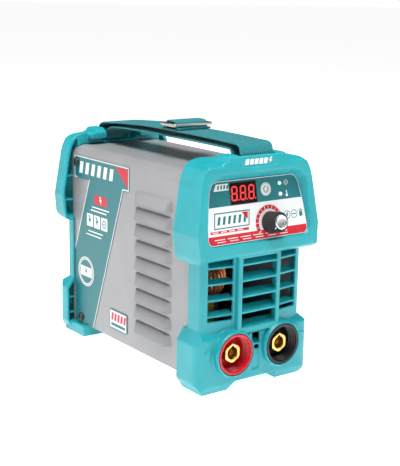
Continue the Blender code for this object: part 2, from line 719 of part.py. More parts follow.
def strap_slot(face, out):
    """The well that the strap drops into, open at the top and towards the middle of the machine."""
    half = STRAP_WIDTH / 2 + STRAP_SIDE_CLEARANCE
    outer = face - out * (BAR_SETBACK - STRAP_THICK - 2 * STRAP_BAR_CLEARANCE)
    inner = face - out * (SADDLE_LENGTH + 12 * MM)
    return box((-half, half), sorted((outer, inner)), (HOOD_TOP - 8 * MM, SADDLE_TOP + 5 * MM))


def strap_bar(face, out):
    """The bar across the well."""
    y, z = bar_centre(face, out)
    half = STRAP_WIDTH / 2 + STRAP_SIDE_CLEARANCE + MM
    outline = rectangle(BAR_DEPTH / 2, BAR_HEIGHT / 2, (y, z), 1.6 * MM)
    return prism(outline, "X", -half, half)


def side_ribs(rear, face, levels):
    """Stiffening ribs between the outer walls and the cover, at the given heights."""
    inner = COVER_HALF + GAP
    ribs = []
    for z, half in levels:
        for side in (-1, 1):
            ends = sorted((side * inner, side * (half - WALL / 2)))
            ribs.append(box(ends, sorted((rear, face)), (z, z + RIB)))
    return ribs


# ---- front bezel --------------------------------------------------------------------------------------


def front_plan(inset):
    """Plan of the part between hood and bumper: outer posts and two vent walls set at an angle."""
    half = MID_HALF - inset if inset == 0.0 else COVER_HALF + GAP
    rear = FRONT_MID_REAR + (15 * MM if inset else 0.0)
    return both_sides([
        (half, rear),
        (half, VENT_POST_Y + 1.4 * MM + inset, max(2.4 * MM - inset, 0.0)),
        (VENT_POST_X - inset * 0.5, VENT_POST_Y + inset),
        (COLUMN_HALF, VENT_STEP_Y + inset),
    ])


def vent_angle():
    """How far each side vent is turned back from the front."""
    return math.atan2(VENT_POST_Y - VENT_STEP_Y, VENT_POST_X - COLUMN_HALF)


def slat(x, y, z, length, depth, turn):
    """One blade, centred on its front edge, falling forwards and turned with its vent."""
    blade = box((-length / 2, length / 2), (0.0, depth), (-SLAT_THICK / 2, SLAT_THICK / 2))
    tilt = Matrix.Rotation(SLAT_TILT, 4, "X")
    return shape(blade, Matrix.Translation((x, y, z)) @ Matrix.Rotation(turn, 4, "Z") @ tilt)


def centre_slats():
    """The blades of the middle vent."""
    length = 2 * (COLUMN_HALF - 2 * MM)
    heights = [CENTRE_SLAT_TOP - index * SLAT_PITCH for index in range(CENTRE_SLATS)]
    return [slat(0.0, COLUMN_FACE + MM, z, length, 9 * MM, 0.0) for z in heights]


def side_slats():
    """The blades of both side vents."""
    blades = []
    angle = vent_angle()
    middle_x = (VENT_POST_X + COLUMN_HALF) / 2
    middle_y = (VENT_POST_Y + VENT_STEP_Y) / 2 + 0.8 * MM
    length = (VENT_POST_X - COLUMN_HALF) / math.cos(angle) - 2 * MM
    for index in range(SIDE_SLATS):
        z = SIDE_SLAT_TOP - index * SLAT_PITCH
        for side in (-1, 1):
            blades.append(slat(side * middle_x, middle_y, z, length, 6.5 * MM, side * angle))
    return blades


def vent_windows():
    """The openings that the blades stand in."""
    column_inner = COLUMN_HALF - 3.6 * MM
    reach = (COLUMN_FACE - 5 * MM, VENT_POST_Y + 8 * MM)
    windows = [box((-column_inner, column_inner), reach, (VENT_BOTTOM, VENT_TOP))]
    for side in (-1, 1):
        ends = sorted((side * (COLUMN_HALF + MM), side * (VENT_POST_X - 2 * MM)))
        windows.append(box(ends, reach, (VENT_BOTTOM + SIDE_VENT_RISE, VENT_TOP)))
    return windows


def panel_matrix():
    """Panel frame: x across, y up the slope, z out of the panel, from the middle of its lower edge."""
    origin = Matrix.Translation((0.0, PANEL_BOTTOM_Y, PANEL_BOTTOM_Z))
    return origin @ Matrix.Rotation(math.pi / 2 - PANEL_LEAN, 4, "X")


def panel_outline(shrink):
    """Outline of the panel field: wider below, with round corners."""
    return both_sides([
        (PANEL_HALF - shrink, shrink, PANEL_CORNER - shrink),
        (PANEL_TOP_HALF - shrink, PANEL_HEIGHT - shrink, PANEL_TOP_CORNER - shrink),
    ])


def panel_openings(grow, low, high):
    """Cutters through the panel for the display, both indicators and the knob's bushing."""
    display = rectangle(DISPLAY_WIDTH / 2 + grow, DISPLAY_HEIGHT / 2 + grow, (DISPLAY_X, DISPLAY_V))
    tools = [prism(display, "Z", low, high)]
    tools.append(prism(circle(BUSHING_RADIUS + grow, 20, (KNOB_X, KNOB_V)), "Z", low, high))
    for v in (LED_V_LOW, LED_V_HIGH):
        tools.append(prism(circle(LED_RADIUS + grow, 12, (LED_X, v)), "Z", low, high))
    return tools


def make_front_bezel(parent):
    """The front moulding: bumper with feet, socket bosses, vents, hood, panel recess and strap seat."""
    lean = math.tan(PANEL_LEAN)
    panel_low = PANEL_BOTTOM_Y - (PANEL_BOTTOM_Z - HOOD_BOTTOM - WALL - HOOD_CHIN) * lean
    panel_top = PANEL_BOTTOM_Y + (HOOD_TOP - WALL - HOOD_BROW - PANEL_BOTTOM_Z) * lean
    seat = SADDLE_FRONT_FACE
    bezel = bumper_block(FRONT_BUMPER_REAR, FRONT_BUMPER_FACE, 0.0)
    join(bezel, prism(front_plan(0.0), "Z", ARCH_HEIGHT, HOOD_BOTTOM + 8 * MM))
    column = both_sides([(COLUMN_HALF, VENT_POST_Y), (COLUMN_HALF, COLUMN_FACE, MM)])
    join(bezel, prism(column, "Z", COLUMN_BOTTOM, HOOD_BOTTOM + 6 * MM))
    hood = hood_block(FRONT_HOOD_REAR, FRONT_HOOD_FACE_LOW, FRONT_HOOD_FACE_TOP, 0.0)
    join(bezel, hood, saddle_block(seat, -1))
    bosses = [turned([(FRONT_BUMPER_FACE + 7 * MM, 0.0), (FRONT_BUMPER_FACE + 7 * MM, BOSS_RADIUS + MM),
                      (SOCKET_FACE + 1.6 * MM, BOSS_RADIUS), (SOCKET_FACE, BOSS_RADIUS - 0.8 * MM),
                      (SOCKET_FACE, 0.0)], "Y", (side * SOCKET_X, SOCKET_Z), 36) for side in (-1, 1)]
    join(bezel, *bosses)

    cut(bezel, bumper_block(FRONT_BUMPER_REAR, FRONT_BUMPER_FACE, WALL))
    cut(bezel, prism(front_plan(WALL), "Z", COVER_BOTTOM - GAP, COVER_TOP - COVER_BEND))
    room = both_sides([(COLUMN_HALF - WALL, VENT_POST_Y + 5 * MM), (COLUMN_HALF - WALL, COLUMN_FACE + WALL)])
    cut(bezel, prism(room, "Z", COLUMN_BOTTOM + WALL, HOOD_BOTTOM + 3 * MM))
    cut(bezel, hood_block(FRONT_HOOD_REAR, panel_low, panel_top, WALL))
    cut(bezel, prism(cover_outline(GAP), "Y", COVER_FRONT - GAP, COVER_REAR))

    ribs = side_ribs(FRONT_BUMPER_REAR - 2 * MM, FRONT_BUMPER_FACE + BUMPER_CORNER, BUMPER_RIBS)
    ribs += side_ribs(FRONT_HOOD_REAR - 4 * MM, FRONT_BUMPER_FACE + BUMPER_CORNER, HOOD_RIBS)
    join(bezel, *ribs)

    cut(bezel, *vent_windows())
    relief = (FRONT_BUMPER_FACE - MARK_RELIEF, FRONT_BUMPER_FACE + MM)
    plus = prism(plus_outline(MARK_ARM, MARK_STROKE, (-MARK_X, MARK_Z)), "Y", *relief)
    minus = prism(rectangle(MARK_ARM, MARK_STROKE, (MARK_X, MARK_Z)), "Y", *relief)
    join(bezel, plus, minus)
    shroud_end = SOCKET_FACE + GAP + SHROUD_DEPTH + SHROUD_FLOOR + GAP
    for side in (-1, 1):
        hole = circle(SHROUD_RADIUS + GAP, 40, (side * SOCKET_X, SOCKET_Z), math.radians(4))
        cut(bezel, prism(hole, "Y", SOCKET_FACE - MM, shroud_end))
    ends = (-SOCKET_SLOT_HALF, SOCKET_SLOT_HALF)
    through = (SOCKET_FACE - MM, FRONT_BUMPER_FACE + 2 * WALL)
    shallow = (SOCKET_FACE - MM, FRONT_BUMPER_FACE + SOCKET_SLOT_RECESS)
    cut(bezel, box(ends, through, (SOCKET_SLOT_OPEN, SOCKET_SLOT_TOP)))
    cut(bezel, box(ends, shallow, (SOCKET_SLOT_LOW, SOCKET_SLOT_OPEN + MM)))
    bridge = slat(0.0, FRONT_BUMPER_FACE, SOCKET_SLOT_BRIDGE, 2 * SOCKET_SLOT_HALF + 2 * MM,
                  SOCKET_SLOT_BRIDGE_DEPTH, 0.0)
    join(bezel, *centre_slats(), *side_slats(), bridge)

    recess = loft(panel_outline(0.0), 0.0, panel_outline(-PANEL_FLARE * PANEL_FLARE_DEPTH), PANEL_FLARE_DEPTH)
    tools = [recess, *panel_openings(GAP, -3 * WALL, WALL)]
    cut(bezel, *[shape(tool, panel_matrix()) for tool in tools])
    cut(bezel, strap_slot(seat, -1))
    join(bezel, strap_bar(seat, -1))
    plate = rectangle(NAMEPLATE_HALF, NAMEPLATE_HALF_HEIGHT, (0.0, HOOD_TOP - NAMEPLATE_HALF_HEIGHT / 2), MM)
    plate = prism(plate, "Y", seat - MM, seat + NAMEPLATE_DEPTH)
    cut(bezel, plate)
    name_part(bezel, "front_bezel", "teal_abs", parent)


# ---- rear bezel ---------------------------------------------------------------------------------------


def switch_place(grow):
    """Outline of the switch's opening."""
    return rectangle(SWITCH_WIDTH / 2 + grow, SWITCH_HEIGHT / 2 + grow, (SWITCH_X, SWITCH_Z), MM)


def grille_slots():
    """Level air slots inside a circle, split by an upright rib in the middle."""
    slots = []
    rows = int(GRILLE_RADIUS / GRILLE_PITCH)
    for row in range(-rows, rows + 1):
        rise = row * GRILLE_PITCH
        reach = math.sqrt(GRILLE_RADIUS**2 - rise**2)
        half = (reach - 1.5 * MM) / 2
        for side in (-1, 1):
            middle = (side * (half + 1.5 * MM), FAN_Z + rise)
            outline = rectangle(half, GRILLE_SLOT / 2, middle)
            slots.append(prism(outline, "Y", REAR_WALL_FACE - 2 * WALL, REAR_WALL_FACE + MM))
    return slots


def make_rear_bezel(parent):
    """The rear moulding: bumper, hood and strap seat round a set-back wall with the fan grille."""
    front, face = REAR_BEZEL_FRONT, REAR_FACE
    seat = SADDLE_REAR_FACE
    bezel = bumper_block(front, face, 0.0)
    mid = [(MID_HALF, front), (MID_HALF, REAR_WALL_FACE, 2 * MM)]
    join(bezel, prism(both_sides(mid), "Z", ARCH_HEIGHT, HOOD_BOTTOM + 8 * MM))
    join(bezel, hood_block(front, face, face - 3 * MM, 0.0), saddle_block(seat, 1))
    for side in (-1, 1):
        ends = sorted((side * FOOT_INNER, side * REAR_FOOT_OUTER))
        join(bezel, box(ends, (REAR_FOOT_FRONT, face - 5 * MM), (0.0, COVER_BOTTOM - GAP)))

    wall_rear = REAR_WALL_FACE - WALL
    low_hollow = bumper_block(front, face, WALL)
    high_hollow = hood_block(front, face, face - 3 * MM, WALL)
    half = REAR_RECESS_HALF + WALL
    for hollow in (low_hollow, high_hollow):
        cut(hollow, box((-half, half), (front - 10 * MM, face + MM), (0.0, HOOD_TOP + 20 * MM)))
        cut(bezel, hollow)
    cut(bezel, prism(cover_outline(GAP), "Y", COVER_FRONT, COVER_REAR + GAP))
    room = both_sides([(FAN_ROOM_HALF, COVER_BOTTOM + 2 * MM), (FAN_ROOM_HALF, COVER_TOP - 4 * MM, 6 * MM)])
    cut(bezel, prism(room, "Y", COVER_REAR - MM, wall_rear))
    recess = [(REAR_RECESS_HALF, REAR_RECESS_BOTTOM, 4 * MM), (REAR_RECESS_HALF, REAR_RECESS_TOP, 6 * MM)]
    cut(bezel, prism(both_sides(recess), "Y", REAR_WALL_FACE, face + 2 * MM))

    ribs = side_ribs(front + 2 * MM, face - BUMPER_CORNER, BUMPER_RIBS)
    ribs += side_ribs(front + 2 * MM, face - WALL / 2, HOOD_RIBS)
    join(bezel, *ribs)
    for side in (-1, 1):
        outer = COVER_HALF - SHEET - LUG_CLEARANCE
        inner = outer - LUG_THICK
        y, z = SCREW_UPPER
        ends = sorted((side * inner, side * outer))
        lug = box(ends, (y - LUG_SIZE / 2, wall_rear + MM), (z - LUG_SIZE / 2, z + LUG_SIZE / 2))
        bridge = box(ends, (COVER_REAR + GAP, wall_rear + MM), (z - LUG_SIZE, z + LUG_SIZE / 2))
        join(bezel, lug, bridge)
        cut(bezel, screw_hole(side, y, z))

    cut(bezel, *grille_slots())
    cut(bezel, prism(switch_place(GAP), "Y", wall_rear - MM, REAR_WALL_FACE + MM))
    gland_hole = circle(GLAND_RADIUS + GAP, 28, (GLAND_X, GLAND_Z))
    cut(bezel, prism(gland_hole, "Y", wall_rear - MM, REAR_WALL_FACE + MM))
    cut(bezel, strap_slot(seat, 1))
    join(bezel, strap_bar(seat, 1))
    name_part(bezel, "rear_bezel", "teal_abs", parent)


# ---- control panel ------------------------------------------------------------------------------------


def make_panel(parent):
    """Overlay, display, indicators, control board, potentiometer and knob, all in the panel's frame."""
    panel = frame_empty("panel_frame", panel_matrix(), parent)
    base = GAP / 3
    top = base + OVERLAY_THICK
    overlay = prism(panel_outline(GAP), "Z", base, top)
    cut(overlay, *panel_openings(GAP, base - MM, top + MM))
    name_part(overlay, "panel_overlay", "printed_label", panel)

    board_top = -WALL - GAP - POT_DEPTH - GAP
    board = box((-CONTROL_BOARD_HALF, CONTROL_BOARD_HALF), (CONTROL_BOARD_BOTTOM, CONTROL_BOARD_TOP),
                (board_top - BOARD_THICK, board_top))
    name_part(board, "control_board", "circuit_board", panel)

    window = rectangle(DISPLAY_WIDTH / 2, DISPLAY_HEIGHT / 2, (DISPLAY_X, DISPLAY_V))
    screen = prism(window, "Z", board_top + GAP, top)
    name_part(screen, "display_module", "display_lens", panel)
    for v, name in ((LED_V_HIGH, "indicator_power"), (LED_V_LOW, "indicator_overheat")):
        lamp = [(board_top + GAP, 0.0), (board_top + GAP, LED_RADIUS), (top, LED_RADIUS)]
        lamp += [(top + 0.5 * MM, 0.7 * LED_RADIUS), (top + 0.8 * MM, 0.0)]
        name_part(turned(lamp, "Z", (LED_X, v), 12), name, "led_lens", panel)

    make_knob(panel, top, board_top)


def make_knob(panel, overlay_top, board_top):
    """The current knob on its potentiometer; knob, cap and shaft turn together."""
    axis = frame_empty("knob_axis", Matrix.Translation((KNOB_X, KNOB_V, 0.0)), panel)
    bore = SHAFT_RADIUS + GAP
    pot_top = -WALL - GAP
    sleeve_top = overlay_top
    pot = turned([(board_top + GAP, 0.0), (board_top + GAP, POT_RADIUS), (pot_top, POT_RADIUS),
                  (pot_top, BUSHING_RADIUS), (sleeve_top, BUSHING_RADIUS), (sleeve_top, 0.0)], "Z", count=24)
    cut(pot, prism(circle(bore, 20), "Z", board_top + 2 * MM, sleeve_top + MM))
    name_part(pot, "potentiometer", "zinc_steel", axis)

    foot = overlay_top + KNOB_LIFT
    head = foot + KNOB_LENGTH
    shaft_end = head - 2.2 * MM
    shaft = turned([(board_top + 2 * MM + GAP, 0.0), (board_top + 2 * MM + GAP, SHAFT_RADIUS),
                    (shaft_end, SHAFT_RADIUS), (shaft_end, 0.0)], "Z", count=20)
    flat = box((SHAFT_RADIUS - 1.2 * MM, SHAFT_RADIUS + MM), (-SHAFT_RADIUS, SHAFT_RADIUS), (foot + MM, head))
    name_part(cut(shaft, flat), "knob_shaft", "zinc_steel", axis)

    outline = [(foot, 0.0), (foot, KNOB_RADIUS), (foot + 1.2 * MM, KNOB_RADIUS)]
    outline += [(foot + 2 * MM, KNOB_RADIUS - 0.7 * MM), (head - MM, KNOB_RADIUS - 1.4 * MM)]
    outline += [(head, KNOB_CAP_RADIUS + 0.6 * MM), (head, 0.0)]
    knob = turned(outline, "Z", count=32)
    for place in circle(KNOB_RADIUS, KNOB_FLUTES):
        cut(knob, prism(circle(KNOB_FLUTE_RADIUS, 6, place), "Z", foot + 2.4 * MM, head + MM))
    cut(knob, prism(circle(bore, 20), "Z", foot - MM, shaft_end + GAP))
    name_part(knob, "knob_body", "black_plastic", axis)

    low = head + GAP / 3
    cap = [(low, 0.0), (low, KNOB_CAP_RADIUS), (low + KNOB_CAP_HEIGHT, KNOB_CAP_RADIUS)]
    crown = low + KNOB_CAP_HEIGHT + 0.4 * MM
    cap += [(crown, 0.85 * KNOB_CAP_RADIUS), (crown, 0.0)]
    name_part(turned(cap, "Z", count=28), "knob_cap", "silver_cap", axis)


# ---- output sockets -------------------------------------------------------------------------------------


def hexagon(across_flats, centre=(0.0, 0.0)):
    """A hexagon with a corner upwards."""
    return circle(across_flats / 2 / math.cos(math.pi / 6), 6, centre, math.pi / 2)


def make_sockets(parent):
    """Shroud, hexagonal brass insert with its stud, nut and busbar for each pole."""
    for side, pole, colour in ((-1, "positive", "red_plastic"), (1, "negative", "black_plastic")):
        centre = (side * SOCKET_X, SOCKET_Z)
        lip = SOCKET_FACE + GAP
        floor = lip + SHROUD_DEPTH
        back = floor + SHROUD_FLOOR
        inner = SHROUD_RADIUS - SHROUD_WALL
        hole = STUD_RADIUS + GAP
        profile = [(back, hole), (back, SHROUD_RADIUS - MM), (lip + MM, SHROUD_RADIUS)]
        profile += [(lip, SHROUD_RADIUS - 0.5 * MM), (lip, inner), (lip + 4 * MM, inner - MM)]
        profile += [(floor, inner - 2 * MM), (floor, hole), (back, hole)]
        name_part(turned_ring(profile, centre, 32), f"socket_shroud_{pole}", colour, parent)

        nut_front = back + GAP
        plate_front = nut_front + NUT_THICK + GAP
        plate_rear = plate_front + BUSBAR_THICK
        tip = SOCKET_FACE + INSERT_SETBACK
        shoulder = floor - GAP
        insert = prism(hexagon(INSERT_ACROSS_FLATS, centre), "Y", tip, shoulder)
        join(insert, prism(circle(STUD_RADIUS, 24, centre), "Y", shoulder - MM, plate_rear - GAP))
        cut(insert, prism(circle(INSERT_BORE_RADIUS, 24, centre), "Y", tip - MM, tip + INSERT_BORE_DEPTH))
        key = box((centre[0] - 1.1 * MM, centre[0] + 1.1 * MM), (tip - MM, tip + 9 * MM),
                  (SOCKET_Z + INSERT_BORE_RADIUS - MM, SOCKET_Z + INSERT_BORE_RADIUS + 0.9 * MM))
        name_part(cut(insert, key), f"socket_insert_{pole}", "brass", parent)

        nut = prism(hexagon(NUT_ACROSS_FLATS, centre), "Y", nut_front, nut_front + NUT_THICK)
        cut(nut, prism(circle(hole, 24, centre), "Y", nut_front - MM, nut_front + NUT_THICK + MM))
        name_part(nut, f"socket_nut_{pole}", "zinc_steel", parent, 0.3 * MM)

        foot = board_level() + BOARD_THICK + GAP
        end = plate_rear + BUSBAR_REACH
        section = [(plate_front, foot), (end, foot), (end, foot + BUSBAR_THICK)]
        section += [(plate_rear, foot + BUSBAR_THICK), (plate_rear, SOCKET_Z + BUSBAR_WIDTH / 2)]
        section += [(plate_front, SOCKET_Z + BUSBAR_WIDTH / 2)]
        bar = prism(section, "X", centre[0] - BUSBAR_WIDTH / 2, centre[0] + BUSBAR_WIDTH / 2)
        cut(bar, prism(circle(hole, 24, centre), "Y", plate_front - MM, plate_rear + MM))
        name_part(bar, f"busbar_{pole}", "copper", parent)


def turned_ring(profile, centre, count):
    """A ring turned about a Y axis from a closed profile of (y, radius) points."""
    bm = bmesh.new()
    rings = []
    for distance, radius in profile[:-1]:
        ring = circle(radius, count, centre)
        rings.append([bm.verts.new((a, distance, b)) for a, b in ring])
    for low, high in zip(rings, rings[1:] + rings[:1]):
        for index in range(count):
            after = (index + 1) % count
            bm.faces.new((low[index], low[after], high[after], high[index]))
    return keep(bm)


# ---- power electronics ------------------------------------------------------------------------------------


def board_level():
    """Height of the underside of the main board."""
    return COVER_BOTTOM + SHEET + GAP + STANDOFF_HEIGHT + GAP


def make_main_board(parent):
    """The main board on four standoffs."""
    level = board_level()
    board = box((-BOARD_HALF, BOARD_HALF), (BOARD_FRONT, BOARD_REAR), (level, level + BOARD_THICK))
    for side in (-1, 1):
        for y, end in ((BOARD_FRONT + STANDOFF_INSET, "front"), (BOARD_REAR - STANDOFF_INSET, "rear")):
            x = side * (BOARD_HALF - STANDOFF_INSET)
            cut(board, prism(circle(1.7 * MM, 12, (x, y)), "Z", level - MM, level + 3 * MM))
            base = COVER_BOTTOM + SHEET + GAP
            outline = circle(STANDOFF_RADIUS / math.cos(math.pi / 6), 6, (x, y))
            post = prism(outline, "Z", base, base + STANDOFF_HEIGHT)
            hand = "left" if side < 0 else "right"
            name_part(post, f"board_standoff_{end}_{hand}", "zinc_steel", parent)
    name_part(board, "main_board", "circuit_board", parent)


def make_transformer(parent):
    """Ferrite frame core with its taped winding, a pad on top, and the toroidal output choke."""
    base = board_level() + BOARD_THICK + GAP
    x, y = TRANSFORMER_X, TRANSFORMER_Y
    top = base + CORE_HEIGHT
    half = CORE_WIDTH / 2
    core = box((x - half, x + half), (y - CORE_DEPTH / 2, y + CORE_DEPTH / 2), (base, top))
    limb = CORE_LIMB
    depth = (y - CORE_DEPTH, y + CORE_DEPTH)
    for side in (-1, 1):
        window = sorted((x + side * limb, x + side * (half - limb)))
        cut(core, box(window, depth, (base + limb, top - limb)))
    name_part(core, "transformer_core", "ferrite", parent, 0.5 * MM)

    inner = rectangle(limb + GAP, CORE_DEPTH / 2 + GAP, (x, y))
    outer = rectangle(half - limb - GAP, WINDING_DEPTH / 2, (x, y), 4 * MM)
    winding = prism(outer, "Z", base + limb + GAP, top - limb - GAP)
    cut(winding, prism(inner, "Z", base, top))
    name_part(winding, "transformer_winding", "winding_tape", parent)

    pad_low = top + GAP
    pad = prism(rectangle(half, CORE_DEPTH / 2 + 4 * MM, (x, y), 2 * MM), "Z", pad_low, pad_low + PAD_THICK)
    name_part(pad, "choke_pad", "fibre_board", parent)
    make_choke(parent, x, CHOKE_Y, pad_low + PAD_THICK + GAP)


def make_choke(parent, x, y, low):
    """A ferrite ring lying flat, wound with one layer of thick enamelled wire."""
    wire = CHOKE_WIRE / 2
    bottom = low + CHOKE_WIRE + GAP
    top = bottom + CHOKE_HEIGHT
    ring = [(bottom, CHOKE_HOLE), (bottom, CHOKE_RADIUS), (top, CHOKE_RADIUS), (top, CHOKE_HOLE)]
    core = prism(circle(CHOKE_RADIUS, 32, (x, y)), "Z", ring[0][0], ring[2][0])
    cut(core, prism(circle(CHOKE_HOLE, 32, (x, y)), "Z", bottom - MM, top + MM))
    name_part(core, "choke_core", "ferrite", parent)

    inner, outer = CHOKE_HOLE - wire - GAP, CHOKE_RADIUS + wire + GAP
    under, over = bottom - wire - GAP, top + wire + GAP
    corners = ((outer, under), (outer, over), (inner, over), (inner, under))
    points = []
    used = CHOKE_TURNS - 2
    for turn in range(used):
        for index, (radius, height) in enumerate(corners):
            angle = 2 * math.pi * (turn + index / 4) / CHOKE_TURNS
            points.append((x + radius * math.cos(angle), y + radius * math.sin(angle), height))
    curve = bpy.data.curves.new("choke_wire", "CURVE")
    curve.dimensions = "3D"
    curve.bevel_depth = wire
    curve.bevel_resolution = 1
    curve.use_fill_caps = True
    spline = curve.splines.new("POLY")
    spline.points.add(len(points) - 1)
    for point, place in zip(spline.points, points):
        point.co = (*place, 1.0)
    source = bpy.data.objects.new("choke_wire", curve)
    bpy.context.scene.collection.objects.link(source)
    graph = bpy.context.evaluated_depsgraph_get()
    mesh = bpy.data.meshes.new_from_object(source.evaluated_get(graph))
    bpy.data.objects.remove(source, do_unlink=True)
    bm = bmesh.new()
    bm.from_mesh(mesh)
    bmesh.ops.remove_doubles(bm, verts=bm.verts, dist=0.001 * MM)
    name_part(keep(bm), "choke_winding", "copper", parent)


def make_heatsinks(parent):
    """Two finned heatsinks back to back, each with its power devices on the inner face."""
    base = board_level() + BOARD_THICK + GAP
    top = base + HEATSINK_HEIGHT
    rear = HEATSINK_FRONT + HEATSINK_LENGTH
    for side, name in ((-1, "primary"), (1, "secondary")):
        plate = sorted((side * HEATSINK_INNER, side * (HEATSINK_INNER + HEATSINK_PLATE)))
        sink = box(plate, (HEATSINK_FRONT, rear), (base, top))
        spread = (HEATSINK_HEIGHT - HEATSINK_FIN) / (HEATSINK_FINS - 1)
        fins = []
        for index in range(HEATSINK_FINS):
            low = base + index * spread
            reach = sorted((side * (HEATSINK_INNER + MM), side * HEATSINK_OUTER))
            fins.append(box(reach, (HEATSINK_FRONT, rear), (low, low + HEATSINK_FIN)))
        join(sink, *fins)
        name_part(sink, f"heatsink_{name}", "aluminium", parent)
        for index in range(2):
            y = HEATSINK_FRONT + HEATSINK_LENGTH * (0.28 + 0.44 * index)
            face = HEATSINK_INNER - GAP
            ends = sorted((side * face, side * (face - DEVICE_THICK)))
            low = base + 12 * MM
            device = box(ends, (y - DEVICE_WIDTH / 2, y + DEVICE_WIDTH / 2), (low, low + DEVICE_HEIGHT))
            leads = [box(sorted((side * (face - 2 * MM), side * (face - 2.7 * MM))),
                         (y + offset - 0.6 * MM, y + offset + 0.6 * MM), (base, low + MM))
                     for offset in (-5.4 * MM, 0.0, 5.4 * MM)]
            join(device, *leads)
            kind = "igbt" if side < 0 else "output_diode"
            name_part(device, f"{kind}_{index + 1}", "black_plastic", parent)


def make_board_parts(parent):
    """Bulk capacitors, bridge rectifier and relay on the main board."""
    base = board_level() + BOARD_THICK + GAP
    for side, name in ((-1, "bulk_capacitor_1"), (1, "bulk_capacitor_2")):
        top = base + CAPACITOR_HEIGHT
        profile = [(base, 0.0), (base, CAPACITOR_RADIUS), (base + 3 * MM, CAPACITOR_RADIUS)]
        profile += [(base + 3.8 * MM, CAPACITOR_RADIUS - 0.7 * MM), (base + 4.6 * MM, CAPACITOR_RADIUS)]
        profile += [(top - MM, CAPACITOR_RADIUS), (top, CAPACITOR_RADIUS - MM), (top, 0.0)]
        can = turned(profile, "Z", (side * CAPACITOR_X, CAPACITOR_Y), 24)
        name_part(can, name, "capacitor_sleeve", parent)
    width, length, height = BRIDGE_SIZE
    ends = (CAPACITOR_Y - length / 2, CAPACITOR_Y + length / 2)
    bridge = box((-width / 2, width / 2), ends, (base, base + height))
    name_part(bridge, "bridge_rectifier", "black_plastic", parent, 0.6 * MM)
    width, length, height = RELAY_SIZE
    relay = box((-width / 2, width / 2), (RELAY_Y - length / 2, RELAY_Y + length / 2), (base, base + height))
    name_part(relay, "soft_start_relay", "black_plastic", parent, 0.6 * MM)


# ---- fan, switch and cable entry ------------------------------------------------------------------


def make_fan(parent):
    """The fan frame with its motor spokes, and the rotor that turns in it."""
    rear = REAR_WALL_FACE - WALL - GAP
    front = rear - FAN_DEPTH
    centre = (0.0, FAN_Z)
    frame = prism(rectangle(FAN_SIZE / 2, FAN_SIZE / 2, centre, 3 * MM), "Y", front, rear)
    cut(frame, prism(circle(FAN_BORE, 40, centre), "Y", front - MM, rear + MM))
    join(frame, prism(circle(FAN_HUB, 24, centre), "Y", front, front + FAN_SPOKE))
    reach, half = FAN_BORE + MM, FAN_SPOKE / 2
    for turn in (math.radians(45), math.radians(-45)):
        spoke = box((-reach, reach), (front, front + FAN_SPOKE), (-half, half))
        join(frame, shape(spoke, Matrix.Translation((0.0, 0.0, FAN_Z)) @ Matrix.Rotation(turn, 4, "Y")))
    corner = FAN_SIZE / 2 - 5 * MM
    holes = [prism(circle(1.9 * MM, 10, (a * corner, FAN_Z + b * corner)), "Y", front - MM, rear + MM)
             for a in (-1, 1) for b in (-1, 1)]
    cut(frame, *holes)
    name_part(frame, "fan_frame", "black_plastic", parent)

    axis = frame_empty("fan_axis", Matrix.Translation((0.0, front + FAN_SPOKE + 2 * GAP, FAN_Z)), parent)
    length = FAN_DEPTH - FAN_SPOKE - 4 * GAP
    hub = [(0.0, 0.0), (0.0, FAN_HUB), (length - MM, FAN_HUB), (length, FAN_HUB - MM), (length, 0.0)]
    rotor = turned(hub, "Y", count=28)
    tip = FAN_BORE - FAN_TIP_CLEARANCE
    blades = []
    for index in range(FAN_BLADES):
        blade = box((FAN_HUB - MM, tip - 0.4 * MM), (-5.2 * MM, 5.2 * MM), (-0.6 * MM, 0.6 * MM))
        pitch = Matrix.Rotation(math.radians(38), 4, "X")
        spin = Matrix.Rotation(2 * math.pi * index / FAN_BLADES, 4, "Y")
        blades.append(shape(blade, spin @ Matrix.Translation((0.0, length / 2, 0.0)) @ pitch))
    join(rotor, *blades)
    name_part(rotor, "fan_rotor", "black_plastic", axis)


def make_switch(parent):
    """The power switch: a snap-in housing and the rocker that tips in it."""
    wall_front = REAR_WALL_FACE - WALL
    face = REAR_WALL_FACE + GAP + SWITCH_FLANGE
    body_front = wall_front - SWITCH_DEPTH
    outline = rectangle(SWITCH_WIDTH / 2, SWITCH_HEIGHT / 2, (SWITCH_X, SWITCH_Z), MM)
    housing = prism(outline, "Y", body_front, REAR_WALL_FACE + GAP + MM)
    flange_half = (SWITCH_WIDTH / 2 + SWITCH_FLANGE, SWITCH_HEIGHT / 2 + SWITCH_FLANGE)
    flange = rectangle(*flange_half, (SWITCH_X, SWITCH_Z), 1.5 * MM)
    join(housing, prism(flange, "Y", REAR_WALL_FACE + GAP, face))
    well_half = (SWITCH_WIDTH / 2 - 1.6 * MM, SWITCH_HEIGHT / 2 - 1.4 * MM)
    well = rectangle(*well_half, (SWITCH_X, SWITCH_Z))
    cut(housing, prism(well, "Y", face - 9 * MM, face + MM))
    tags = [box((SWITCH_X + x - 2.4 * MM, SWITCH_X + x + 2.4 * MM), (body_front - 7 * MM, body_front + MM),
                (SWITCH_Z - 0.4 * MM, SWITCH_Z + 0.4 * MM)) for x in (-5 * MM, 5 * MM)]
    join(housing, *tags)
    name_part(housing, "switch_housing", "black_plastic", parent)

    tipped = Matrix.Translation((SWITCH_X, face - 1.5 * MM, SWITCH_Z)) @ Matrix.Rotation(ROCKER_TIP, 4, "X")
    axis = frame_empty("rocker_axis", tipped, parent)
    half_x = well_half[0] - GAP - 0.2 * MM
    reach = well_half[1] - 0.9 * MM
    section = [(-3.2 * MM, -3.6 * MM), (-3.2 * MM, 3.6 * MM), (0.6 * MM, reach), (2.6 * MM, reach)]
    section += [(1.7 * MM, 0.0), (2.6 * MM, -reach), (0.6 * MM, -reach)]
    rocker = prism(section, "X", -half_x, half_x)
    name_part(rocker, "switch_rocker", "red_plastic", axis)


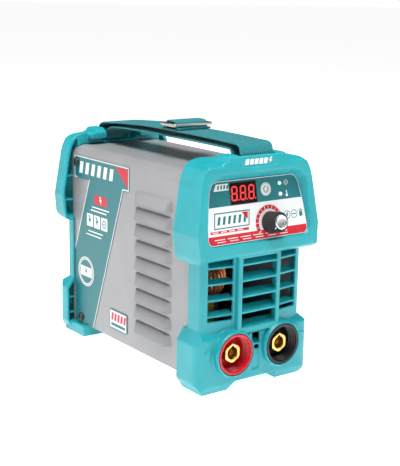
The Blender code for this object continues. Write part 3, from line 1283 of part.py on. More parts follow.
def make_gland(parent):
    """The cable entry: a threaded gland through the rear wall with its nut inside."""
    face = REAR_WALL_FACE
    inner_end = face - WALL - 9 * MM
    centre = (GLAND_X, GLAND_Z)
    outer_end = face + GAP + GLAND_LENGTH
    profile = [(inner_end, GLAND_BORE), (inner_end, GLAND_RADIUS), (face + GAP, GLAND_RADIUS)]
    profile += [(face + GAP, GLAND_RADIUS + 3 * MM), (face + GAP + 4 * MM, GLAND_RADIUS + 3 * MM)]
    profile += [(face + GAP + 5 * MM, GLAND_RADIUS), (outer_end - 2 * MM, GLAND_RADIUS - 1.4 * MM)]
    profile += [(outer_end, GLAND_BORE + 0.9 * MM), (outer_end, GLAND_BORE), (inner_end, GLAND_BORE)]
    name_part(turned_ring(profile, centre, 24), "cable_gland", "black_plastic", parent)
    nut_rear = face - WALL - GAP
    nut = prism(hexagon(GLAND_NUT_AF, centre), "Y", nut_rear - 5 * MM, nut_rear)
    cut(nut, prism(circle(GLAND_RADIUS + GAP, 24, centre), "Y", nut_rear - 7 * MM, nut_rear + MM))
    name_part(nut, "gland_nut", "black_plastic", parent, 0.3 * MM)


# ---- strap ------------------------------------------------------------------------------------------------


def bezier(start, pull_start, pull_end, end, steps):
    """Points along a cubic curve, without its last one."""
    points = []
    for step in range(steps):
        t = step / steps
        weights = ((1 - t) ** 3, 3 * t * (1 - t) ** 2, 3 * t * t * (1 - t), t**3)
        corners = (start, pull_start, pull_end, end)
        points.append(tuple(sum(w * c[i] for w, c in zip(weights, corners)) for i in (0, 1)))
    return points


def strap_path():
    """The closed middle line of the webbing: a top run and a lower run, turned round both bars."""
    offset = STRAP_THICK / 2 + STRAP_BAR_CLEARANCE
    front = bar_centre(SADDLE_FRONT_FACE, -1)
    rear = bar_centre(SADDLE_REAR_FACE, 1)
    half_depth, half_height = BAR_DEPTH / 2 + offset, BAR_HEIGHT / 2 + offset
    run, low = STRAP_RUN_TOP, STRAP_RUN_LOW
    flat = BUCKLE_LENGTH / 2 + BUCKLE_TRAVEL + 4 * MM
    path = []
    front_outer = (front[0] - half_depth, front[1])
    rear_outer = (rear[0] + half_depth, rear[1])
    front_top = (front_outer[0] + 6 * MM, run - STRAP_FRONT_DROP)
    rear_top = (rear_outer[0] - 12 * MM, run - STRAP_REAR_DROP)
    under_rear = (rear[0], rear[1] - half_height)
    under_front = (front[0], front[1] - half_height)
    rear_foot = (rear[0] - 16 * MM, low - 2.6 * MM)
    front_foot = (front[0] + 10 * MM, low - 0.6 * MM)
    run_front, run_rear = (BUCKLE_Y - flat, run), (BUCKLE_Y + flat, run)
    front_y, rear_y = front_outer[0], rear_outer[0]
    path += bezier(front_outer, (front_y, front_top[1] - 3 * MM), (front_y + MM, front_top[1]), front_top, 6)
    path += bezier(front_top, (front_top[0] + 16 * MM, front_top[1] + 0.4 * MM),
                   (run_front[0] - 12 * MM, run), run_front, 5)
    path += [(BUCKLE_Y - flat + index * 2 * flat / 4, run) for index in range(4)]
    path += bezier(run_rear, (run_rear[0] + 16 * MM, run), (rear_top[0] - 14 * MM, rear_top[1] + 1.4 * MM),
                   rear_top, 5)
    path += bezier(rear_top, (rear_top[0] + 7 * MM, rear_top[1] - 0.7 * MM), (rear_y, rear_top[1] - MM),
                   rear_outer, 6)
    path += bezier(rear_outer, (rear_y, rear[1] - 0.8 * half_height),
                   (rear[0] + 0.6 * half_depth, under_rear[1]), under_rear, 3)
    path += bezier(under_rear, (rear[0] - 5 * MM, under_rear[1]),
                   (rear_foot[0] + 8 * MM, rear_foot[1] - 2 * MM), rear_foot, 6)
    path += bezier(rear_foot, (rear_foot[0] - 20 * MM, low), (front_foot[0] + 30 * MM, low + 0.2 * MM),
                   front_foot, 8)
    path += bezier(front_foot, (front_foot[0] - 5 * MM, front_foot[1] - 0.6 * MM),
                   (front[0] + 5.5 * MM, under_front[1]), under_front, 6)
    path += bezier(under_front, (front[0] - 0.6 * half_depth, under_front[1]),
                   (front_y, front[1] - 0.8 * half_height), front_outer, 3)
    return path


def make_strap(parent):
    """The webbing loop over the top of the machine."""
    name_part(band(strap_path(), STRAP_WIDTH / 2, STRAP_THICK, True), "strap_webbing", "webbing", parent)


def make_buckle(parent):
    """The adjuster that slides along the strap: a three-bar frame, and the fold over its middle bar."""
    seat = STRAP_RUN_TOP + STRAP_THICK / 2 + GAP
    fold = FOLD_THICK
    axis = frame_empty("buckle_slide", Matrix.Translation((0.0, BUCKLE_Y, seat)), parent)
    low = fold + 2 * GAP
    high = low + BUCKLE_THICK
    half = BUCKLE_LENGTH / 2
    frame = prism(rectangle(BUCKLE_WIDTH / 2, half, (0.0, 0.0), 2.5 * MM), "Z", low, high)
    slot_half = STRAP_WIDTH / 2 + BUCKLE_SLOT_CLEARANCE
    for side in (-1, 1):
        window = sorted((side * BUCKLE_BAR / 2, side * (half - BUCKLE_BAR)))
        cut(frame, box((-slot_half, slot_half), window, (low - MM, high + MM)))
    name_part(frame, "strap_buckle", "buckle_metal", axis, 0.6 * MM)

    mid = fold / 2
    over = high + GAP + mid
    knee = half - BUCKLE_BAR - 1.7 * MM
    path = [(-half - 2 * MM, mid), (-half + BUCKLE_BAR / 2, mid)]
    path += bezier((-half + BUCKLE_BAR, mid), (-knee + 0.6 * MM, mid), (-knee - 0.6 * MM, over),
                   (-BUCKLE_BAR / 2 - MM, over), 5)
    path += [(0.0, over + 0.2 * MM)]
    right = [(-y, z) for y, z in reversed(path[:-1])]
    folded = band(path + right, STRAP_WIDTH / 2 - 0.5 * MM, fold, False)
    name_part(folded, "buckle_fold", "webbing", axis)


# ---- assembly ----------------------------------------------------------------------------------------------


def centre_on_footprint(root):
    """Moves the whole machine along Y so that the origin is at the middle of its box."""
    bpy.context.view_layer.update()
    ends = []
    for obj in bpy.context.scene.objects:
        if obj.type == "MESH":
            ends += [(obj.matrix_world @ vertex.co).y for vertex in obj.data.vertices]
    root.location.y = -(min(ends) + max(ends)) / 2
    bpy.context.view_layer.update()


def main():
    """Builds every part of the inverter."""
    root = frame_empty("inverter", Matrix.Identity(4))
    for step in (make_cover, make_tray, make_screws, make_side_labels, make_front_bezel, make_rear_bezel,
                 make_panel, make_sockets, make_main_board, make_transformer, make_heatsinks,
                 make_board_parts, make_fan, make_switch, make_gland, make_strap, make_buckle):
        step(root)
    centre_on_footprint(root)


for thing in list(bpy.data.objects):
    bpy.data.objects.remove(thing, do_unlink=True)
FINISH_MATERIALS = make_materials()
main()
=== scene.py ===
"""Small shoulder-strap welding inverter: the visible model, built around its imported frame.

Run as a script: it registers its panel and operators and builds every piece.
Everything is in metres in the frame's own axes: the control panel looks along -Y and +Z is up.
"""

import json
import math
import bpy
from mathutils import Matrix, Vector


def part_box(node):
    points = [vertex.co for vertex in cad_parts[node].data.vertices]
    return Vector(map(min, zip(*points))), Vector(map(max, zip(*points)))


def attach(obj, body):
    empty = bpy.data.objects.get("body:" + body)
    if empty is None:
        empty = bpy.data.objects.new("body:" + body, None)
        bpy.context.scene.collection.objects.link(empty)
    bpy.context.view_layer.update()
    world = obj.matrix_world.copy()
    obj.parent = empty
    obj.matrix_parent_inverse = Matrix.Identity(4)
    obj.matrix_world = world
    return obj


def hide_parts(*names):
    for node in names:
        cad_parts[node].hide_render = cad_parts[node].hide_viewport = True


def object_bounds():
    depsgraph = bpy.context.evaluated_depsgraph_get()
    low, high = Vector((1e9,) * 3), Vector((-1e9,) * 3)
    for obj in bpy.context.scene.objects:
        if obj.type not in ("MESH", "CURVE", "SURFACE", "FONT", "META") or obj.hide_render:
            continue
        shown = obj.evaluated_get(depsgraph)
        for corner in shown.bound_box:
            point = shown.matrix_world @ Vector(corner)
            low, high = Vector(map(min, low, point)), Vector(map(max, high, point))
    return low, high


bl_info = {
    "name": "Welding Inverter Builder",
    "version": (1, 0, 0),
    "blender": (4, 5, 0),
    "location": "View3D > Sidebar > Inverter",
    "description": "Builds a small stick welding inverter piece by piece",
    "category": "Object",
}

import bmesh
import bpy
from bpy.props import FloatProperty, FloatVectorProperty, IntProperty, PointerProperty
from mathutils import Matrix, Vector

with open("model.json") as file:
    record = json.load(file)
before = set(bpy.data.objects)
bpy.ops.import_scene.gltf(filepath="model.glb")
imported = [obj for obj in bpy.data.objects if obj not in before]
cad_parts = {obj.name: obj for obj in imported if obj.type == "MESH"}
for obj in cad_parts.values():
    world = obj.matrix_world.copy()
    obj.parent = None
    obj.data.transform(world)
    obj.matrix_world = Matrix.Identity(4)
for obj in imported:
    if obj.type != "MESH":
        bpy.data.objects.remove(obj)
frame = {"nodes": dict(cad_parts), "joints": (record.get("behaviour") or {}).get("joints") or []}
CAD_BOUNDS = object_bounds()
MM = 0.001
NODES = frame["nodes"]
JOINTS = {joint["name"]: joint for joint in frame["joints"]}

KNOB_CENTRE = Vector(JOINTS["knob_turn"]["pos_m"])
PANEL_OUT = Vector(JOINTS["knob_turn"]["axis"]).normalized()
PANEL_UP = PANEL_OUT.cross(Vector((1, 0, 0))).normalized()
KNOB_U = 10.3 * MM
KNOB_V = 11.6 * MM


def axes_at(origin, right, up):
    """A frame with its X to the right, its Y up and its Z out towards the viewer."""
    right, up = Vector(right), Vector(up)
    matrix = Matrix((right, up, right.cross(up))).transposed().to_4x4()
    matrix.translation = origin
    return matrix


PANEL = axes_at(KNOB_CENTRE - PANEL_UP * KNOB_V - Vector((KNOB_U, 0, 0)), (1, 0, 0), PANEL_UP)
LEFT_SIDE = axes_at((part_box("side_label_left")[0].x, 0, 0), (0, -1, 0), (0, 0, 1))
RIGHT_SIDE = axes_at((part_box("side_label_right")[1].x, 0, 0), (0, 1, 0), (0, 0, 1))


# ---- sizes and colours a user would change -------------------------------------------------------


def colour(name, note, default):
    return FloatVectorProperty(name=name, description=note, subtype="COLOR", size=3, min=0, max=1,
                               default=default)


def length(name, note, default):
    return FloatProperty(name=name, description=note, unit="LENGTH", default=default)


def count_of(name, note, default, least, most):
    return IntProperty(name=name, description=note, default=default, min=least, max=most)


class InverterBodySettings(bpy.types.PropertyGroup):
    shell: colour("Shell", "Colour of the moulded end bezels", (0.012, 0.37, 0.42))
    steel: colour("Cover", "Colour of the painted steel cover", (0.30, 0.30, 0.31))
    label: colour("Label", "Ground colour of the printed labels", (0.005, 0.17, 0.19))
    accent: colour("Accent", "Red of the printed bands", (0.62, 0.006, 0.02))
    shell_round: length("Shell detail", "Size of the finest detail kept on the moulded bezels", 0.42 * MM)
    louvres: count_of("Louvres", "Pressed louvres on each side of the cover", 9, 1, 10)
    louvre_length: length("Louvre length", "Length of a louvre", 49.0 * MM)
    louvre_height: length("Louvre height", "Height of a louvre", 9.2 * MM)
    louvre_round: length("Louvre edge", "Radius of the pressed louvres' edges", 1.7 * MM)


class InverterStrapSettings(bpy.types.PropertyGroup):
    webbing: colour("Webbing", "Colour of the woven strap", (0.012, 0.30, 0.34))
    width: length("Width", "Width of the webbing", 30.0 * MM)
    thickness: length("Thickness", "Thickness of the webbing", 1.5 * MM)


class InverterPanelSettings(bpy.types.PropertyGroup):
    digits: count_of("Digits", "Seven-segment digits on the display", 3, 1, 4)
    ticks: count_of("Scale ticks", "Marks round the knob", 11, 3, 41)
    scale_radius: length("Scale radius", "Middle radius of the knob's printed arc", 11.2 * MM)


class InverterStageSettings(bpy.types.PropertyGroup):
    floor: colour("Floor", "Colour of the studio floor", (0.86, 0.86, 0.86))
    lens: FloatProperty(name="Lens", description="Focal length of the camera, in millimetres", default=79.6)


# ---- modelling tools -----------------------------------------------------------------------------


def hold(piece):
    """Leaves edit mode, deselects everything and makes one piece the only one in hand."""
    if bpy.context.object and bpy.context.object.mode != "OBJECT":
        bpy.ops.object.mode_set(mode="OBJECT")
    bpy.ops.object.select_all(action="DESELECT")
    if piece:
        piece.select_set(True)
        bpy.context.view_layer.objects.active = piece
    return piece


def edit(piece):
    """Opens a piece in edit mode with all of it selected."""
    hold(piece)
    bpy.ops.object.mode_set(mode="EDIT")
    bpy.ops.mesh.select_mode(type="VERT")
    bpy.ops.mesh.select_all(action="SELECT")


def pick(kind, test):
    """In edit mode, selects only the vertices, edges or faces that pass a test."""
    bpy.ops.mesh.select_mode(type=kind)
    bpy.ops.mesh.select_all(action="DESELECT")
    shape = bmesh.from_edit_mesh(bpy.context.object.data)
    shape.normal_update()
    for part in {"VERT": shape.verts, "EDGE": shape.edges, "FACE": shape.faces}[kind]:
        if test(part):
            part.select_set(True)
    shape.select_flush_mode()
    bmesh.update_edit_mesh(bpy.context.object.data)


def move(offset):
    bpy.ops.transform.translate(value=offset)


def swell(factors, centre):
    bpy.ops.transform.resize(value=factors, center_override=centre)


def use(piece, kind, **choices):
    """Adds a modifier with these choices and applies it."""
    hold(piece)
    modifier = piece.modifiers.new(kind.title(), kind)
    for name, value in choices.items():
        setattr(modifier, name, value)
    bpy.ops.object.modifier_apply(modifier=modifier.name)


def soften(piece, radius, steps=3, angle=28, clamp=False):
    """Rounds the edges that turn by more than an angle."""
    use(piece, "BEVEL", width=radius, segments=steps, limit_method="ANGLE", angle_limit=math.radians(angle),
        use_clamp_overlap=clamp, miter_outer="MITER_ARC", harden_normals=False)


def named(name):
    """Names the object that an operator has just added."""
    piece = bpy.context.object
    piece.name = name
    piece.data.name = name
    return piece


def block(name, low, high):
    """A box between two corners."""
    hold(None)
    low, high = Vector(low), Vector(high)
    bpy.ops.mesh.primitive_cube_add(size=1, location=(low + high) / 2)
    bpy.context.object.scale = high - low
    bpy.ops.object.transform_apply(location=True, rotation=True, scale=True)
    return named(name)


def rod(name, radius, low, high, sides=48):
    """An upright cylinder between two heights, round the local Z axis."""
    hold(None)
    bpy.ops.mesh.primitive_cylinder_add(vertices=sides, radius=radius, depth=high - low,
                                        location=(0, 0, (low + high) / 2))
    bpy.ops.object.transform_apply(location=True, rotation=True, scale=True)
    return named(name)


def lathe(name, profile, steps=64):
    """A shape spun round the local Z axis from a profile of (radius, height)."""
    hold(None)
    bpy.ops.mesh.primitive_plane_add(size=MM, location=(0, 0, 0))
    piece = named(name)
    edit(piece)
    bpy.ops.mesh.merge(type="CENTER")
    bpy.ops.mesh.select_all(action="SELECT")
    here = Vector((profile[0][0], 0, profile[0][1]))
    move(here)
    for radius, height in profile[1:]:
        there = Vector((radius, 0, height))
        bpy.ops.mesh.extrude_region_move(TRANSFORM_OT_translate={"value": there - here})
        here = there
    bpy.ops.mesh.select_all(action="SELECT")
    bpy.ops.mesh.spin(steps=steps, angle=math.tau, center=(0, 0, 0), axis=(0, 0, 1))
    bpy.ops.mesh.select_all(action="SELECT")
    bpy.ops.mesh.remove_doubles(threshold=0.005 * MM)
    bpy.ops.mesh.normals_make_consistent(inside=False)
    hold(piece)
    return piece


def place(piece, matrix):
    """Moves a piece made at the origin to its place."""
    hold(piece)
    piece.matrix_world = matrix @ piece.matrix_world
    bpy.ops.object.transform_apply(location=True, rotation=True, scale=True)
    return piece


def twin(piece, name):
    """A copy with its own mesh."""
    hold(piece)
    bpy.ops.object.duplicate(linked=False)
    return named(name)


def joined(pieces, name):
    """Several pieces made one."""
    hold(pieces[0])
    for piece in pieces:
        piece.select_set(True)
    bpy.context.view_layer.objects.active = pieces[0]
    if len(pieces) > 1:
        bpy.ops.object.join()
    return named(name)


def carve(piece, cutter):
    """Cuts one piece out of another."""
    use(piece, "BOOLEAN", operation="DIFFERENCE", solver="EXACT", object=cutter)
    bpy.data.objects.remove(cutter, do_unlink=True)


def copy_of(node, name):
    """A new piece with a frame node's shape, its loose triangles merged and its flat faces made whole."""
    piece = bpy.data.objects.new(name, NODES[node].data.copy())
    bpy.context.scene.collection.objects.link(piece)
    piece.data.materials.clear()
    hold(piece)
    bpy.ops.mesh.customdata_custom_splitnormals_clear()
    edit(piece)
    bpy.ops.mesh.remove_doubles(threshold=0.002 * MM)
    bpy.ops.mesh.dissolve_limited(angle_limit=math.radians(0.6))
    hold(piece)
    return piece


def flat_shape(name, outlines, thickness, where, base):
    """A thin printed or stamped shape from closed outlines in a plane, standing base above it."""
    line = bpy.data.curves.new(name, "CURVE")
    line.dimensions = "2D"
    line.fill_mode = "BOTH"
    line.extrude = thickness / 2
    for outline in outlines:
        spline = line.splines.new("POLY")
        spline.points.add(len(outline) - 1)
        for point, (u, v) in zip(spline.points, outline):
            point.co = (u, v, 0, 1)
        spline.use_cyclic_u = True
    piece = bpy.data.objects.new(name, line)
    bpy.context.scene.collection.objects.link(piece)
    hold(piece)
    bpy.ops.object.convert(target="MESH")
    piece = bpy.context.object
    edit(piece)
    bpy.ops.mesh.remove_doubles(threshold=0.001 * MM)
    bpy.ops.mesh.normals_make_consistent(inside=False)
    hold(piece)
    return place(piece, where @ Matrix.Translation((0, 0, base + thickness / 2)))


def done(piece, finish, nodes=(), body="machine", angle=32):
    """Gives a piece its shading, material and body, and hides the frame nodes that it stands for."""
    hold(piece)
    bpy.ops.object.transform_apply(location=True, rotation=True, scale=True)
    bpy.ops.object.shade_smooth_by_angle(angle=math.radians(angle))
    piece.data.materials.clear()
    piece.data.materials.append(finish_of(finish))
    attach(piece, body)
    if nodes:
        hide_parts(*nodes)
    return piece


def dress(node, finish):
    """Gives a frame node that stays its material."""
    node = NODES[node]
    node.data.materials.clear()
    node.data.materials.append(finish_of(finish))


# ---- outlines ------------------------------------------------------------------------------------


def mm(*points):
    return [(u * MM, v * MM) for u, v in points]


def arc(u, v, radius, start=0.0, end=360.0, steps=36):
    """Points along an arc, in millimetres and degrees."""
    turns = [math.radians(start + (end - start) * step / steps) for step in range(steps + 1)]
    return [((u + radius * math.cos(t)) * MM, (v + radius * math.sin(t)) * MM) for t in turns]


def disc(u, v, radius, steps=36):
    return arc(u, v, radius, 0, 360, steps)[:-1]


def ring(u, v, outer, inner, steps=40):
    return [disc(u, v, outer, steps), disc(u, v, inner, steps)]


def bar(left, low, right, high, slant=0.0):
    """A four-cornered bar whose top leans to the right by slant, in millimetres."""
    return mm((left, low), (right, low), (right + slant, high), (left + slant, high))


def frame_of(left, low, right, high, stroke, slant=0.0):
    lean = slant * stroke / (high - low)
    inner = bar(left + stroke + lean, low + stroke, right - stroke + lean, high - stroke, slant - 2 * lean)
    return [bar(left, low, right, high, slant), inner]


def round_bar(left, low, right, high, radius):
    corners = ((right - radius, high - radius, 0), (left + radius, high - radius, 90),
               (left + radius, low + radius, 180), (right - radius, low + radius, 270))
    outline = []
    for u, v, turn in corners:
        outline += arc(u, v, radius, turn, turn + 90, 5)
    return outline


def bolt(u, v, size):
    """A lightning flash."""
    points = ((0.10, 0.5), (-0.32, -0.06), (-0.04, -0.06), (-0.14, -0.5), (0.32, 0.10), (0.04, 0.10),
              (0.30, 0.5))
    return mm(*[(u + a * size, v + b * size) for a, b in points])


# ---- materials -----------------------------------------------------------------------------------


def node_in(material, kind, inputs=None, **choices):
    """Adds a node; inputs are numbers or other nodes' outputs."""
    node = material.node_tree.nodes.new(kind)
    for name, value in choices.items():
        setattr(node, name, value)
    for name, value in (inputs or {}).items():
        socket = node.inputs[name]
        if isinstance(value, bpy.types.NodeSocket):
            material.node_tree.links.new(value, socket)
        else:
            socket.default_value = value
    return node


def shade(r, g, b):
    return (r, g, b, 1.0)


def darker(c, factor):
    return shade(*[channel * factor for channel in c[:3]])


def new_material(name, shader):
    """An empty node material with one shader whose steady numbers are set on its own sockets."""
    material = bpy.data.materials.new(name)
    material.use_nodes = True
    tree = material.node_tree
    tree.nodes.clear()
    principled = tree.nodes.new("ShaderNodeBsdfPrincipled")
    for socket, value in shader.items():
        principled.inputs[socket].default_value = value
    output = tree.nodes.new("ShaderNodeOutputMaterial")
    tree.links.new(principled.outputs["BSDF"], output.inputs["Surface"])
    return material, principled


def own_place(material):
    """Where a point lies in the machine's own axes."""
    return node_in(material, "ShaderNodeTexCoord").outputs["Object"]


def noise(material, place_in, scale, detail, roughness=0.5):
    facts = {"Vector": place_in, "Scale": scale, "Detail": detail, "Roughness": roughness}
    return node_in(material, "ShaderNodeTexNoise", facts).outputs["Fac"]


def ranged(material, value, low, high, to_low=0.0, to_high=1.0):
    """A number brought from one range into another."""
    ranges = {"Value": value, "From Min": low, "From Max": high, "To Min": to_low, "To Max": to_high}
    return node_in(material, "ShaderNodeMapRange", ranges).outputs["Result"]


def tint(material, target, amount, first, second):
    """Colours a shader's socket with a mix of two colours."""
    mix = node_in(material, "ShaderNodeMix", data_type="RGBA")
    mix.inputs[6].default_value = first
    mix.inputs[7].default_value = second
    material.node_tree.links.new(amount, mix.inputs[0])
    material.node_tree.links.new(mix.outputs[2], target)


def relieve(material, principled, height, depth, strength=1.0):
    """Gives a shader a relief, depth millimetres deep."""
    relief = node_in(material, "ShaderNodeBump",
                     {"Height": height, "Distance": depth * MM, "Strength": strength})
    material.node_tree.links.new(relief.outputs["Normal"], principled.inputs["Normal"])


def grained(name, colour_a, colour_b, patch, grain, rough, depth, stretch=(1, 1, 1), **shader):
    """A finish with broad patches between two colours, and fine grain in its roughness and relief."""
    material, principled = new_material(name, shader)
    placing = {"Vector": own_place(material), "Scale": stretch}
    spread = node_in(material, "ShaderNodeMapping", placing).outputs["Vector"]
    broad = ranged(material, noise(material, spread, patch, 4.0, 0.6), 0.35, 0.65)
    fine = noise(material, spread, grain, 2.0)
    tint(material, principled.inputs["Base Color"], broad, shade(*colour_a[:3]), shade(*colour_b[:3]))
    gloss = ranged(material, fine, 0.3, 0.7, *rough)
    material.node_tree.links.new(gloss, principled.inputs["Roughness"])
    relieve(material, principled, fine, depth)
    return material


def woven(name, thread, painted_gap_shade):
    """Ribbed webbing: threads across and along the strap on its own UV map, which is in metres."""
    cloth = {"Roughness": 0.62, "Sheen Weight": 0.25, "Sheen Roughness": 0.4, "Specular IOR Level": 0.35}
    material, principled = new_material(name, cloth)
    uv = node_in(material, "ShaderNodeUVMap", uv_map="along_strap").outputs["UV"]
    parts = node_in(material, "ShaderNodeSeparateXYZ", {"Vector": uv})
    pick_pitch, rib_pitch = 1.15 * MM, 1.05 * MM
    fibre_share = 0.35

    def maths(operation, a, b=0.0):
        return node_in(material, "ShaderNodeMath", {0: a, 1: b}, operation=operation).outputs[0]

    column = maths("MULTIPLY", parts.outputs["X"], math.pi / rib_pitch)
    row = maths("MULTIPLY", parts.outputs["Y"], math.tau / pick_pitch)
    zigzag = maths("MULTIPLY", maths("SIGN", maths("SINE", column)), math.pi / 2)
    thread_wave = maths("SINE", maths("ADD", row, zigzag))
    rib_wave = maths("ABSOLUTE", maths("SINE", column))
    height = maths("MULTIPLY", maths("ADD", maths("MULTIPLY", thread_wave, 0.5), 0.5), rib_wave)
    fibre = noise(material, uv, 900.0, 3.0)
    whole = maths("ADD", height, maths("MULTIPLY", fibre, fibre_share))
    # the low places between the threads take the darker colour: painted shade in the weave's hollows, with
    # fibre grain mixed in
    tint(material, principled.inputs["Base Color"], ranged(material, whole, 0.15, 0.9), painted_gap_shade, thread)
    relieve(material, principled, whole, 0.22, 0.9)
    return material


def turned_metal(name, light, dark, centre, axis, rough):
    """Machined metal with fine rings round an axis."""
    material, principled = new_material(name, METAL)

    def vector_maths(operation, *inputs):
        return node_in(material, "ShaderNodeVectorMath", dict(enumerate(inputs)), operation=operation)

    turn = Vector(axis).rotation_difference(Vector((0, 0, 1))).to_euler()
    shifted = vector_maths("SUBTRACT", own_place(material), centre).outputs[0]
    spread = node_in(material, "ShaderNodeMapping", {"Vector": shifted, "Rotation": turn}).outputs["Vector"]
    reach = vector_maths("LENGTH", vector_maths("MULTIPLY", spread, (1, 1, 0)).outputs[0])
    rings = node_in(material, "ShaderNodeTexNoise",
                    {"W": reach.outputs["Value"], "Scale": 2600.0, "Detail": 2.0},
                    noise_dimensions="1D").outputs["Fac"]
    tint(material, principled.inputs["Base Color"], rings, shade(*dark), shade(*light))
    material.node_tree.links.new(ranged(material, rings, 0.0, 1.0, *rough), principled.inputs["Roughness"])
    relieve(material, principled, rings, 0.02, 0.6)
    return material


def glowing(name, lens, glow, strength):
    """A lit display or lamp face with a slight unevenness."""
    material, principled = new_material(name, {"Roughness": 0.3, "Emission Strength": strength})
    haze = noise(material, own_place(material), 900.0, 2.0)
    tint(material, principled.inputs["Emission Color"], haze, darker(glow, 0.8), darker(glow, 1.15))
    tint(material, principled.inputs["Base Color"], haze, darker(lens, 0.9), darker(lens, 1.05))
    return material


def coat(slot, name, colours, patch, grain, rough, depth, shader=None, stretch=(1, 1, 1)):
    """A record slot and what makes its grained finish.

    colours are two colours, or the name of a setting and the two shares of its colour that are kept.
    """

    def make():
        pair = colours
        if isinstance(colours[0], str):
            base = getattr(bpy.context.scene.inverter_body, colours[0])
            pair = [darker(base, share) for share in colours[1:]]
        return grained(name, *pair, patch, grain, rough, depth, stretch, **(shader or {}))

    return slot, make


def strap_weave():
    webbing = bpy.context.scene.inverter_strap.webbing
    # the colour between the threads is the webbing's colour at 0.45: painted shade
    return woven("ribbed_webbing", shade(*webbing), darker(webbing, 0.45))


def spun_cap():
    return turned_metal("spun_cap", (0.92, 0.92, 0.92), (0.75, 0.75, 0.76), KNOB_CENTRE, PANEL_OUT,
                        (0.18, 0.34))


PLASTIC = {"Specular IOR Level": 0.5, "IOR": 1.5}
METAL = {"Metallic": 1.0}
POWDER = {"Coat Weight": 0.25, "Coat Roughness": 0.25}
ENAMEL = {"Metallic": 0.85, "Coat Weight": 0.6, "Coat Roughness": 0.12}
GLASSY = {"Coat Weight": 0.8, "Coat Roughness": 0.05}

# finish: record slot, material, colours, patches and grain per metre, roughness, relief in mm, shader
FINISHES = {
    "shell": coat("teal_abs", "moulded_shell", ("shell", 1, 0.86), 45, 1500, (0.3, 0.42), 0.03, PLASTIC),
    "steel": coat("painted_steel", "powder_coat", ("steel", 1, 0.93), 30, 1300, (0.3, 0.42), 0.035, POWDER),
    # the tray is the cover's paint made darker and rougher: painted shade inside the case
    "tray": coat("painted_steel", "powder_coat_tray", ("steel", 0.8, 0.7), 30, 1300, (0.4, 0.5), 0.035),
    "zinc": coat("zinc_steel", "zinc_plate", ((0.55, 0.56, 0.58), (0.42, 0.44, 0.47)),
                 300, 2500, (0.25, 0.42), 0.01, METAL),
    "screw": coat("zinc_steel", "blackened_screw", ((0.02, 0.02, 0.022), (0.035, 0.033, 0.03)),
                  400, 2500, (0.3, 0.45), 0.01, {"Metallic": 0.25}),
    "black": coat("black_plastic", "black_moulding", ((0.008, 0.0085, 0.010), (0.013, 0.0135, 0.015)),
                  80, 1700, (0.3, 0.45), 0.03, PLASTIC),
    "red": coat("red_plastic", "red_moulding", ((0.62, 0.008, 0.020), (0.52, 0.006, 0.015)),
                70, 1700, (0.25, 0.38), 0.02, PLASTIC),
    "brass": coat("brass", "brass_bar", ((0.80, 0.56, 0.20), (0.66, 0.44, 0.13)),
                  250, 2400, (0.22, 0.36), 0.012, METAL),
    "copper": coat("copper", "enamelled_copper", ((0.68, 0.20, 0.06), (0.50, 0.12, 0.03)),
                   350, 2200, (0.25, 0.4), 0.01, ENAMEL),
    "knob_metal": ("silver_cap", spun_cap),
    "label": coat("printed_label", "label_ground", ("label", 1, 0.92), 40, 2500, (0.32, 0.42), 0.008,
                  PLASTIC),
    "print_white": coat("printed_label", "print_white", ((0.83, 0.84, 0.84), (0.78, 0.79, 0.79)),
                        60, 2500, (0.35, 0.45), 0.005),
    "print_red": coat("printed_label", "print_red", ("accent", 1, 0.9), 60, 2500, (0.35, 0.45), 0.005),
    "print_teal": coat("printed_label", "print_teal", ("label", 1, 0.85), 60, 2500, (0.35, 0.45), 0.005),
    "print_grey": coat("printed_label", "print_grey", ((0.36, 0.39, 0.40), (0.30, 0.33, 0.34)),
                       60, 2500, (0.35, 0.45), 0.005),
    "display": coat("display_lens", "display_window", ((0.012, 0.006, 0.007), (0.02, 0.01, 0.011)),
                    90, 2500, (0.06, 0.12), 0.0, GLASSY),
    "segments": ("display_lens",
                 lambda: glowing("lit_segments", (0.5, 0.03, 0.03), (1.0, 0.035, 0.035), 0.9)),
    "lamp": ("led_lens", lambda: glowing("lamp_lens", (0.75, 0.78, 0.78), (0.8, 0.9, 0.9), 0.35)),
    "board": coat("circuit_board", "solder_mask", ((0.010, 0.09, 0.035), (0.006, 0.055, 0.022)),
                  220, 900, (0.22, 0.34), 0.03, {"Coat Weight": 0.4}),
    "ferrite": coat("ferrite", "ferrite_core", ((0.035, 0.035, 0.038), (0.06, 0.06, 0.063)),
                    240, 1500, (0.5, 0.7), 0.05),
    "tape": coat("winding_tape", "winding_tape", ((0.62, 0.36, 0.03), (0.5, 0.26, 0.02)),
                 180, 1500, (0.2, 0.34), 0.02, {"Coat Weight": 0.5}),
    # the heatsinks' alloy is made near black as painted shade, so that the inside of the case looks dark
    "alloy": coat("aluminium", "anodised_alloy", ((0.030, 0.031, 0.034), (0.045, 0.046, 0.05)),
                  60, 1600, (0.3, 0.45), 0.012, {"Metallic": 0.6}, (1, 0.04, 1)),
    "sleeve": coat("capacitor_sleeve", "capacitor_sleeve", ((0.02, 0.03, 0.07), (0.03, 0.045, 0.10)),
                   80, 1500, (0.12, 0.25), 0.008, PLASTIC),
    "webbing": ("webbing", strap_weave),
    "nickel": coat("buckle_metal", "nickel_buckle", ((0.56, 0.53, 0.50), (0.46, 0.43, 0.40)),
                   160, 2200, (0.22, 0.38), 0.012, METAL),
    "fibre": coat("fibre_board", "pressed_fibre", ((0.30, 0.22, 0.13), (0.24, 0.17, 0.10)),
                  200, 1800, (0.7, 0.85), 0.05),
}
MADE_FINISHES = {}


def finish_of(name):
    """The material of a finish, made the first time that it is asked for."""
    if name not in MADE_FINISHES:
        MADE_FINISHES[name] = FINISHES[name][1]()
    return MADE_FINISHES[name]


class InverterOperator:
    """What the operators share: each can be undone."""

    bl_options = {"REGISTER", "UNDO"}


def finished():
    """Ends an operator with nothing selected and nothing in edit mode."""
    hold(None)
    return {"FINISHED"}


# ---- shell pieces --------------------------------------------------------------------------------


BEZEL_TRIANGLES = 150000


